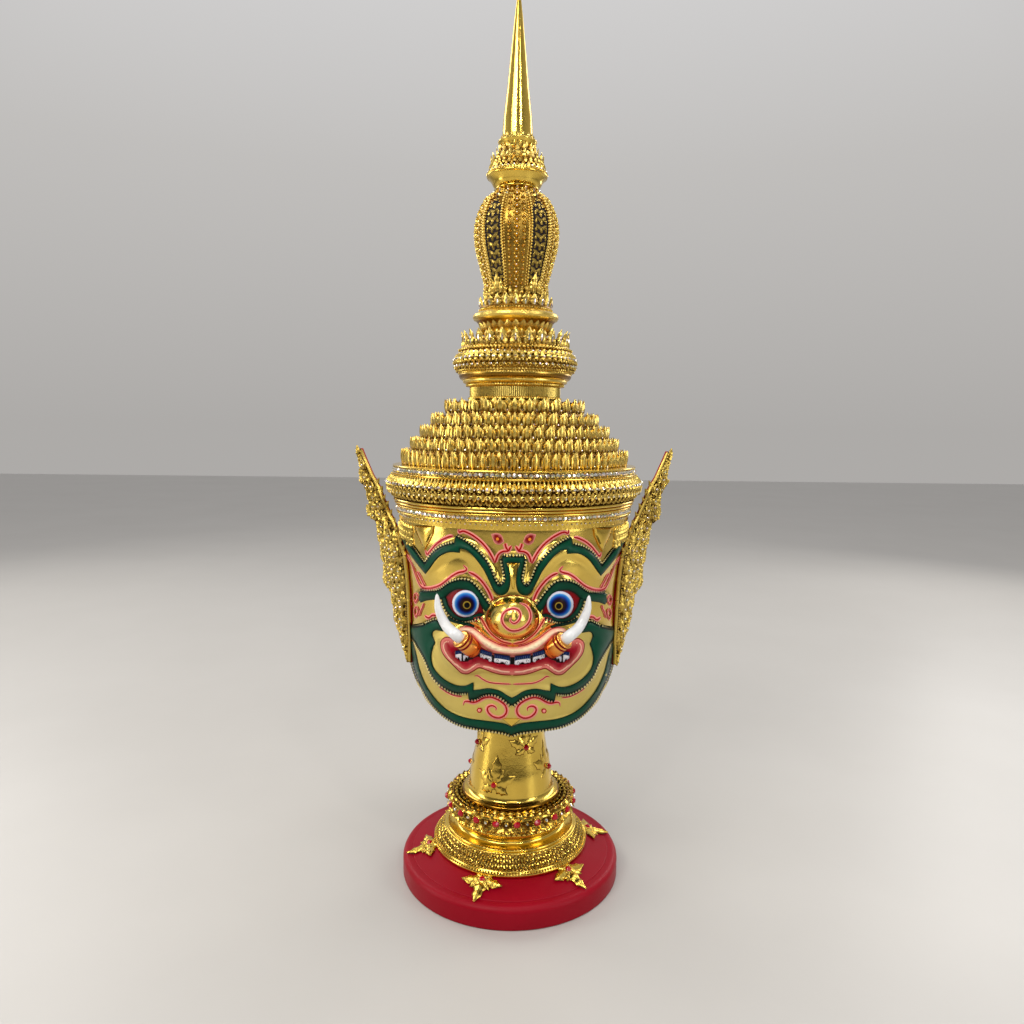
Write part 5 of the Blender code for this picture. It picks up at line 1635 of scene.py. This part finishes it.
    # Cup edge, petals and calyx above the bulb
    shape.ring(bead, 60, 28.4, 210.4, size=0.95)
    shape.ring(leaf(4.6, 6.4, 1.6, 9, 5, lobes=0.2), 30, 27.4, 211.0, lean=-0.40)
    shape.ring(leaf(4.4, 6.2, 1.6, 9, 5, lobes=0.2), 30, 26.2, 215.0, turn=math.pi / 30, lean=-0.32)
    chips(shape, 30, 27.6, 212.4, 1.1, math.pi / 30, loose=0.35)
    shape.ring(leaf(5.6, 9.4, 1.8, 10, 5, curl=0.16, lobes=0.28), 22, 23.4, 218.6, lean=0.10)
    shape.ring(leaf(4.6, 8.0, 1.5, 7, 5, curl=0.10), 22, 22.0, 219.4, turn=math.pi / 22, lean=0.0)
    shape.ring(leaf(4.6, 8.0, 1.6, 9, 5, curl=0.10, lobes=0.25), 18, 18.6, 226.6, lean=0.10)
    shape.ring(bud(2.2, 6.6, 2.0, 5, 6), 18, 16.4, 231.0, turn=math.pi / 18, lean=0.16)
    shape.ring(bead, 44, 17.9, 240.2, size=0.75)
    shape.ring(leaf(3.4, 4.6, 1.0, 6, 5), 18, 15.2, 241.6)
    return shape.build("spire_turned", "spire", "spire_gilt", (GOLD_RELIEF, STONE, GOLD_SMOOTH), crease=32)


# The bulb's sides, and half the width of its ribs and its panels in degrees
BULB_SIDES = 5
RIB_HALF = 22.3
PANEL_HALF = 13.7


def spire_bulb():
    """Ribs with beads and rosettes, dark panels with leaves between them, and leaves at both ends."""
    shape = Shape(SPIRE_FOOT)
    bulb = smooth_through(((31.0, 119.0), (34.4, 132), (37.0, 142), (38.0, 152), (38.2, 158), (37.4, 165),
                           (35.4, 172.5), (32.0, 180.5), (28.0, 187), (24.0, 191.4), (20.0, 194.6),
                           (18.2, 196.2)), 5)
    lower = smooth_through(((27.3, 99), (27.9, 106), (29.4, 113), (31.2, 120)), 4)[:-1]
    body = np.vstack([lower, bulb])
    # Painted shade on the body under the ribs, panels and leaves
    shape.lathe(body, 120, shade=shaded(body, (98, 196)))

    def place(angle, height, lift):
        radius = np.interp(height, body[:, 1], body[:, 0]) + lift
        return about_axis(radius, angle, SPIRE_FOOT + height)

    # Ends of the panels
    top, low = 184.0, 108.0
    rows = np.linspace(100, 190, 40)
    share = np.linspace(-1, 1, 13)
    half_rib = math.radians(RIB_HALF)
    for k in range(BULB_SIDES):
        middle = 2 * math.pi * k / BULB_SIDES
        panel = middle + math.pi / BULB_SIDES
        lift = 1.3 * (1 - np.abs(share) ** 8)
        # The rib's ground between its raised edges is painted shade, so the relief on it stands out
        edges = (np.abs(share) > 0.9)[:, None]
        colour = np.tile(np.where(edges, 1.0, 0.2 + 0.8 * SHADE_IN_DEPTHS), (len(rows), 1))
        angles = middle + half_rib * share[None, :] + 0 * rows[:, None]
        shape.add(place(angles, rows[:, None], lift), [grid_faces(len(rows), len(share))], 0, colour)
        # Panel: dark ground, pointed at its top
        up = np.linspace(0, 1, len(rows))
        heights = low + (top - low) * up
        half = math.radians(PANEL_HALF) * np.clip((1 - up) / 0.16, 0, 1) ** 0.8
        angles = panel + half[:, None] * share
        shape.add(place(angles, heights[:, None], 0.5), [grid_faces(len(up), len(share))], 2)
        for edge in (-1, 1):
            for height in np.arange(101, 190, 2.6):
                bump(shape, place, middle + edge * half_rib * 0.94, height, 1.6, 1.25)
                bump(shape, place, middle + edge * half_rib * 0.76, height + 1.3, 1.6, 0.9)
                if low < height < top:
                    reach = math.radians(PANEL_HALF + 0.4) * min(1.0, (top - height) / 12.2) ** 0.8
                    bump(shape, place, panel + edge * reach, height, 0.5, 0.8)
        # Rosettes up the middle of the rib, with grains and small leaves in the gaps
        for height in np.arange(103, 190, 6.4):
            rosette(shape, place, middle, height, 4.2, 1.5, 6)
            for edge in (-1, 1):
                rosette(shape, place, middle + edge * 0.44 * half_rib, height + 3.2, 3.0, 1.4, 5)
                for rise, out, size in ((0.0, 0.50, 1.1), (3.2, 0.14, 0.9)):
                    bump(shape, place, middle + edge * out * half_rib, height + rise, 1.5, size)
        # Leaves of gold leaf on the panel, in facing pairs round a stem
        for height in np.arange(110, 180, 7.4):
            narrow = min(1.0, (top - 4 - height) / 14)
            petal(shape, place, panel, height + 3.4, 0.0, 3.2, 5.8 * narrow, 0.9, 0.6, 0.52)
            for edge in (-1, 1):
                half = edge * narrow * math.radians(PANEL_HALF)
                petal(shape, place, panel + 0.12 * half, height, 0.95 * edge, 3.5, 6.9 * narrow, 0.9, 0.6,
                      0.52)
                petal(shape, place, panel + 0.64 * half, height + 4.8, -0.1 * edge, 2.8, 4.2 * narrow, 0.8,
                      0.6, 0.52)
    flames = ((0, 99.5, 18.0, 9.0), (-0.15, 98.5, 12.0, 6.5), (0.15, 98.5, 12.0, 6.5),
              (0.28, 98.0, 8.0, 5.0), (-0.28, 98.0, 8.0, 5.0))
    for way, start, tall, wide in flames:
        flame = leaf(wide, tall, 2.8, 15, 9, lobes=0.34)
        shape.ring(flame, BULB_SIDES, 29.0, start, turn=math.pi / BULB_SIDES + way, lean=0.14)
    for start, radius, count, tall, lean in ((184.4, 29.4, 20, 9.0, -0.86), (188.6, 25.8, 20, 8.0, -0.9),
                                             (192.0, 22.0, 16, 6.0, -0.8)):
        shape.ring(leaf(tall * 0.8, tall, 2.2, 9, 7, lobes=0.25), count, radius, start, lean=lean)
        shape.ring(ball(3, 8), count, radius + 0.8, start + 0.6, turn=math.pi / count, size=1.3)
        chips(shape, count, radius + 0.9, start + 2.4, 1.0, loose=0.35)
    return shape.build("spire_bulb", "spire", "spire_gilt", (GOLD_RELIEF, STONE, PANEL), crease=32)


def bump(shape, place, angle, height, lift, size):
    """Grain set on a turned body."""
    points, faces = GRAIN
    centre = place(np.array([angle]), np.array([height]), lift)[0]
    shape.add(centre + points * size, faces, 0)


def petal(shape, place, angle, height, way, wide, tall, thick, lift, shade=1.0):
    """Small leaf laid on a turned body, its tip turned by a way from upwards."""
    radius = np.hypot(*place(np.array([angle]), np.array([height]), 0.0)[0][:2])
    points, faces = leaf(wide, tall, thick, 5, 5)
    across, up = swung(points, way)
    places = place(angle + across / radius, height + up, lift + points[:, 1])
    # Softened painted shade on the leaf, darker where it meets the body, times the given shade
    shape.add(places, faces, 0, shade * np.sqrt(painted_relief_shade(points)))


def rosette(shape, place, angle, height, size, lift, petals):
    """Flower of petals round a stone, laid on a turned body."""
    for k in range(petals):
        way = 2 * math.pi * (k + 0.5) / petals
        petal(shape, place, angle, height, way, size * 0.52, size * 0.78, size * 0.42 + 0.4, lift)
    points, faces = stone(6, 0.8, 0.45)
    centre = place(np.array([angle]), np.array([height]), lift + size * 0.22 + 0.2)[0]
    c, s = math.cos(angle), math.sin(angle)
    across, out = points[:, 0] * size * 0.26, points[:, 1] * size * 0.26
    turned = np.column_stack([across * c + out * s, across * s - out * c, points[:, 2] * size * 0.26])
    shape.add(centre + turned, faces, 1)


# Ears

# Height over the rim, and across and along of the front and the back edge, for the side at +X
EAR_SECTIONS = (
    (247, 155.5, 26, 157, 29), (237, 149.5, 16, 158, 30), (222, 141, 6, 154, 26), (211, 133, -2, 157, 32),
    (207, 131, -4, 149, 23), (198, 127.5, -6, 148, 24), (186, 122, -8, 147, 27), (178, 117, -12, 151, 35),
    (171, 113.5, -17, 138, 20), (162, 108, -32, 136, 17), (150, 100.5, -47, 134, 15), (128, 98.5, -45, 130, 12),
    (109, 97.5, -45, 127, 8), (103, 97.5, -45, 119, -4), (80, 97.5, -40.5, 115.5, -8), (62, 97.5, -37, 108, -18),
    (41, 98.5, -31.5, 101, -28),
)
EAR_TIP, EAR_FOOT = EAR_SECTIONS[0][0], EAR_SECTIONS[-1][0]


class Plate:
    """The ear's curved plate. A place on it is a height over the rim and a share from the front edge."""

    def __init__(self, side):
        self.side = side
        self.rows = np.array(EAR_SECTIONS[::-1], float)

    def edges(self, height):
        values = [np.interp(height, self.rows[:, 0], self.rows[:, k]) for k in (1, 2, 3, 4)]
        return np.stack(values[:2], axis=-1), np.stack(values[2:], axis=-1)

    def width(self, height):
        front, back = self.edges(height)
        return np.linalg.norm(back - front, axis=-1)

    def at(self, height, share, lift=0.0):
        height, share = np.asarray(height, float), np.asarray(share, float)
        front, back = self.edges(height)
        run = back - front
        out = np.stack([run[..., 1], -run[..., 0]], axis=-1)
        out /= np.maximum(np.linalg.norm(out, axis=-1, keepdims=True), 1e-6)
        flat = front + run * share[..., None] + out * np.asarray(lift + 0 * share)[..., None]
        return np.stack([self.side * flat[..., 0], flat[..., 1], RIM_Z + height], axis=-1)

    def lay(self, shape, form, height, share, way=0.0, size=1.0, lift=0.0, finish=0):
        """Put a form on the plate. Its up side points along the way, from upwards towards the back edge."""
        points, faces = form
        points = np.asarray(points, float) * size
        across, up = swung(points, way)
        centre = self.at(height, share)
        front, back = self.edges(height)
        run = (back - front) / max(np.linalg.norm(back - front), 1e-6)
        beside = np.array([self.side * run[0], run[1], 0.0])
        out = np.array([self.side * run[1], -run[0], 0.0])
        rise = self.at(height + 4, share) - self.at(height - 4, share)
        rise -= out * (rise @ out)
        rise = np.array([0, 0, 1.0]) * 0.6 + 0.4 * rise / np.linalg.norm(rise)
        rise /= np.linalg.norm(rise)
        places = centre + across[:, None] * beside + up[:, None] * rise + (points[:, 1] + lift)[:, None] * out
        # Painted shade on the form: darker where it meets the plate
        shape.add(places, faces, finish, painted_relief_shade(points))


def ear(side):
    """Flame-shaped ornament with cords, leaves, curls and stones, red behind."""
    shape = Shape()
    plate = Plate(side)
    heights, share = np.meshgrid(np.linspace(EAR_FOOT, EAR_TIP, 120), np.linspace(0, 1, 17), indexing="ij")
    front, back = plate.at(heights, share, 1.0), plate.at(heights, share, -1.6)
    # The plate's front takes the dark ground, painted shade under the relief, and its back is red
    for surface, finish in ((front, 3), (back, 2)):
        shape.add(surface, [grid_faces(*heights.shape)], finish)
    for end, finish in ((0, 2), (-1, 0)):
        shape.add(np.stack([front[:, end], back[:, end]], axis=1), [grid_faces(len(heights), 2)], finish)
    for end in (0, -1):
        shape.add(np.stack([front[end], back[end]]), [grid_faces(2, len(front[end]))], 0)
    # Cords along both edges
    cord = np.linspace(EAR_FOOT + 2, EAR_TIP - 2, 130)
    for place, radius in ((0.0, 1.5), (0.06, 0.9)):
        shape.add(tube(plate.at(cord, place + 0 * cord, 1.2), radius + 0 * cord, 7),
                  [grid_faces(130, 7, True)], 0)
    bead = ball(3, 7)
    for height in np.arange(44, 244, 2.7):
        plate.lay(shape, bead, height, 0.13 if height < 200 else 0.3, size=1.15, lift=1.8)
    inward = leaf(6.6, 13.0, 3.0, 12, 7, lobes=0.34)
    for k, height in enumerate(np.arange(146, 214, 5.0)):
        plate.lay(shape, inward, height, 0.10, -1.0 + 0.25 * (k % 3), 0.8 + 0.1 * (k % 2), 0.4)
    # Flames along the back edge, growing in groups
    flame = leaf(8.0, 15.0, 3.8, 12, 7, lobes=0.34, solid=True)
    for k, height in enumerate(np.arange(43, 240, 6.0)):
        size = 0.60 + 0.34 * ((k * 5) % 7) / 6
        if plate.width(height) < 14:
            size *= 0.72
        plate.lay(shape, flame, height, 0.96 if height < 165 else 0.88, 0.85 if height < 200 else 0.35,
                  size, 0.6)
        plate.lay(shape, flame, height + 3.0, 0.86, 0.35, size * 0.9, 2.0)
        plate.lay(shape, bead, height + 2.5, 1.0, size=1.5, lift=1.0)
    # Body: curls and flames in overlapping rows, deep between them, with a few stones
    curls = [scroll(wide, 2.8, 1.3, 6, 15) for wide in (9.0, 11.0, 13.0)]
    large = leaf(8.8, 16.5, 4.8, 12, 7, curl=0.08, lobes=0.34)
    small = leaf(5.2, 9.0, 2.8, 9, 5, curl=0.05, lobes=0.25)
    for row, height in enumerate(np.arange(46, 238, 9.6)):
        width = plate.width(height)
        places = max(1, int(width // 9.0))
        for column in range(places):
            at = 0.20 + 0.72 * (column + 0.5 + 0.3 * (row % 2)) / (places + 0.3)
            jitter = rng.uniform(-1, 1, 3)
            here = height + 2.2 * jitter[0]
            at += 0.04 * jitter[1]
            if (row + column) % 2 and width > 12:
                plate.lay(shape, curls[(row + 2 * column) % 3], here, at, way=1.2 * jitter[1],
                          size=0.8 if width < 20 else 1.0, lift=2.6)
                plate.lay(shape, stone(8, 0.8, 0.45), here, at, way=jitter[2], size=1.3, lift=4.2, finish=1)
            else:
                plate.lay(shape, large, here - 6, at, way=0.35 + 0.4 * jitter[1],
                          size=0.7 if width < 16 else 0.95, lift=1.2)
                plate.lay(shape, bead, here + 6.2, at + 0.04, size=1.4, lift=3.0)
            for reach in (-1, 1):
                turn = 0.6 * reach + 0.5 * jitter[2]
                plate.lay(shape, small, here + 2.5 * reach, min(0.94, at + 0.05 * reach), way=turn,
                          size=0.9, lift=1.6)
            plate.lay(shape, bead, here + 4.3 + jitter[1], max(0.16, at - 0.08), size=1.1, lift=1.6)
    finishes = (EAR_GILT, STONE, EAR_RED, EAR_SHADED_GROUND)
    return shape.build(f"ear_flame_{HAND[side]}", f"ear_{HAND[side]}", "ear_gilt", finishes)


# Studio


def studio():
    """Pale floor, a soft room and lamps."""
    floor = bpy.data.meshes.new("floor")
    floor.from_pydata([(-6, -6, 0), (6, -6, 0), (6, 6, 0), (-6, 6, 0)], [], [(0, 1, 2, 3)])
    made = bpy.data.objects.new("floor", floor)
    bpy.context.scene.collection.objects.link(made)
    finish = Nodes("pale_floor").set(Roughness=0.45)
    cloudy = finish.scaled(finish.noise(3.0), 0.0, 1.0)
    finish.use(Base_Color=finish.mix(cloudy, (0.44, 0.42, 0.39), (0.50, 0.48, 0.45)))
    floor.materials.append(finish.material)
    world = bpy.data.worlds.new("studio")
    bpy.context.scene.world = world
    world.use_nodes = True
    tree = world.node_tree
    place = tree.nodes.new("ShaderNodeTexCoord")
    split = tree.nodes.new("ShaderNodeSeparateXYZ")
    tree.links.new(place.outputs["Generated"], split.inputs[0])
    ramp = tree.nodes.new("ShaderNodeValToRGB")
    tree.links.new(split.outputs["Z"], ramp.inputs["Fac"])
    stops = ((0.0, (0.30, 0.29, 0.28)), (0.30, (0.38, 0.37, 0.36)), (0.70, (0.55, 0.55, 0.56)),
             (1.0, (0.85, 0.85, 0.88)))
    set_stops(ramp, stops)
    tree.links.new(ramp.outputs["Color"], tree.nodes["Background"].inputs["Color"])
    # The room is darker before the object than behind it
    depth = tree.nodes.new("ShaderNodeMapRange")
    for key, value in (("From Min", -0.8), ("From Max", 0.8), ("To Min", 0.34), ("To Max", 1.4)):
        depth.inputs[key].default_value = value
    tree.links.new(split.outputs["Y"], depth.inputs["Value"])
    tree.links.new(depth.outputs["Result"], tree.nodes["Background"].inputs["Strength"])
    # Name, place, width and height in metres, watts and colour
    lamps = (
        ("key", (-1.1, -1.5, 1.9), (0.8, 0.8), 18.0, (1.0, 0.97, 0.92)),
        ("fill", (1.7, -1.1, 0.9), (0.6, 1.3), 11.0, (0.95, 0.97, 1.0)),
        ("side_left", (-1.9, -0.3, 0.7), (0.5, 1.3), 11.0, (1.0, 0.98, 0.95)),
        ("back_left", (-1.5, 1.2, 1.4), (0.5, 1.4), 12.0, (1.0, 0.98, 0.95)),
        ("back_right", (1.4, 1.4, 1.2), (0.5, 1.4), 11.0, (1.0, 0.98, 0.95)),
        ("front", (0.25, -2.2, 1.25), (0.9, 0.9), 5.0, (1.0, 0.98, 0.95)),
        ("top", (0.1, -0.3, 2.4), (1.4, 0.5), 14.0, (1.0, 1.0, 1.0)),
        ("spot_left", (-0.5, -1.6, 1.9), (0.12, 0.12), 5.0, (1.0, 0.96, 0.9)),
        ("spot_right", (0.7, -1.5, 1.8), (0.12, 0.12), 5.0, (1.0, 0.96, 0.9)),
    )
    target = Vector((0, 0, 0.38))
    for name, place, size, power, colour in lamps:
        lamp = bpy.data.lights.new(name, "AREA")
        lamp.shape = "RECTANGLE"
        lamp.size, lamp.size_y = size
        lamp.energy = power
        lamp.color = colour
        made = bpy.data.objects.new(name, lamp)
        made.location = place
        made.rotation_euler = (target - Vector(place)).to_track_quat("-Z", "Y").to_euler()
        bpy.context.scene.collection.objects.link(made)


# Where the camera stands in metres, how far it looks down and leans in degrees, and its lens in millimetres
CAMERA_PLACE = (-0.0016, -0.76, 0.4536)
CAMERA_DOWN = 6.3
CAMERA_LEAN = 0.6
SENSOR_WIDTH = 36.0
FOCAL_LENGTH = 27.04


def camera():
    """A view from a little over the middle of the object, looking slightly down."""
    lens = bpy.data.cameras.new("camera")
    lens.sensor_width = SENSOR_WIDTH
    lens.lens = FOCAL_LENGTH
    made = bpy.data.objects.new("camera", lens)
    tilt = Matrix.Rotation(math.radians(90 - CAMERA_DOWN), 4, "X")
    lean = Matrix.Rotation(math.radians(CAMERA_LEAN), 4, "Z")
    made.matrix_world = Matrix.Translation(CAMERA_PLACE) @ tilt @ lean
    bpy.context.scene.collection.objects.link(made)
    bpy.context.scene.camera = made
    bpy.context.scene.view_settings.view_transform = "Standard"


base()
stand()
for index in range(6):
    foot_leaf(index)
helmet()
face_paint()
for side in (-1, 1):
    ferrule(side)
    tusk(side)
    ear(side)
crown_bands()
crown_tiers()
spire()
spire_bulb()
studio()
camera()
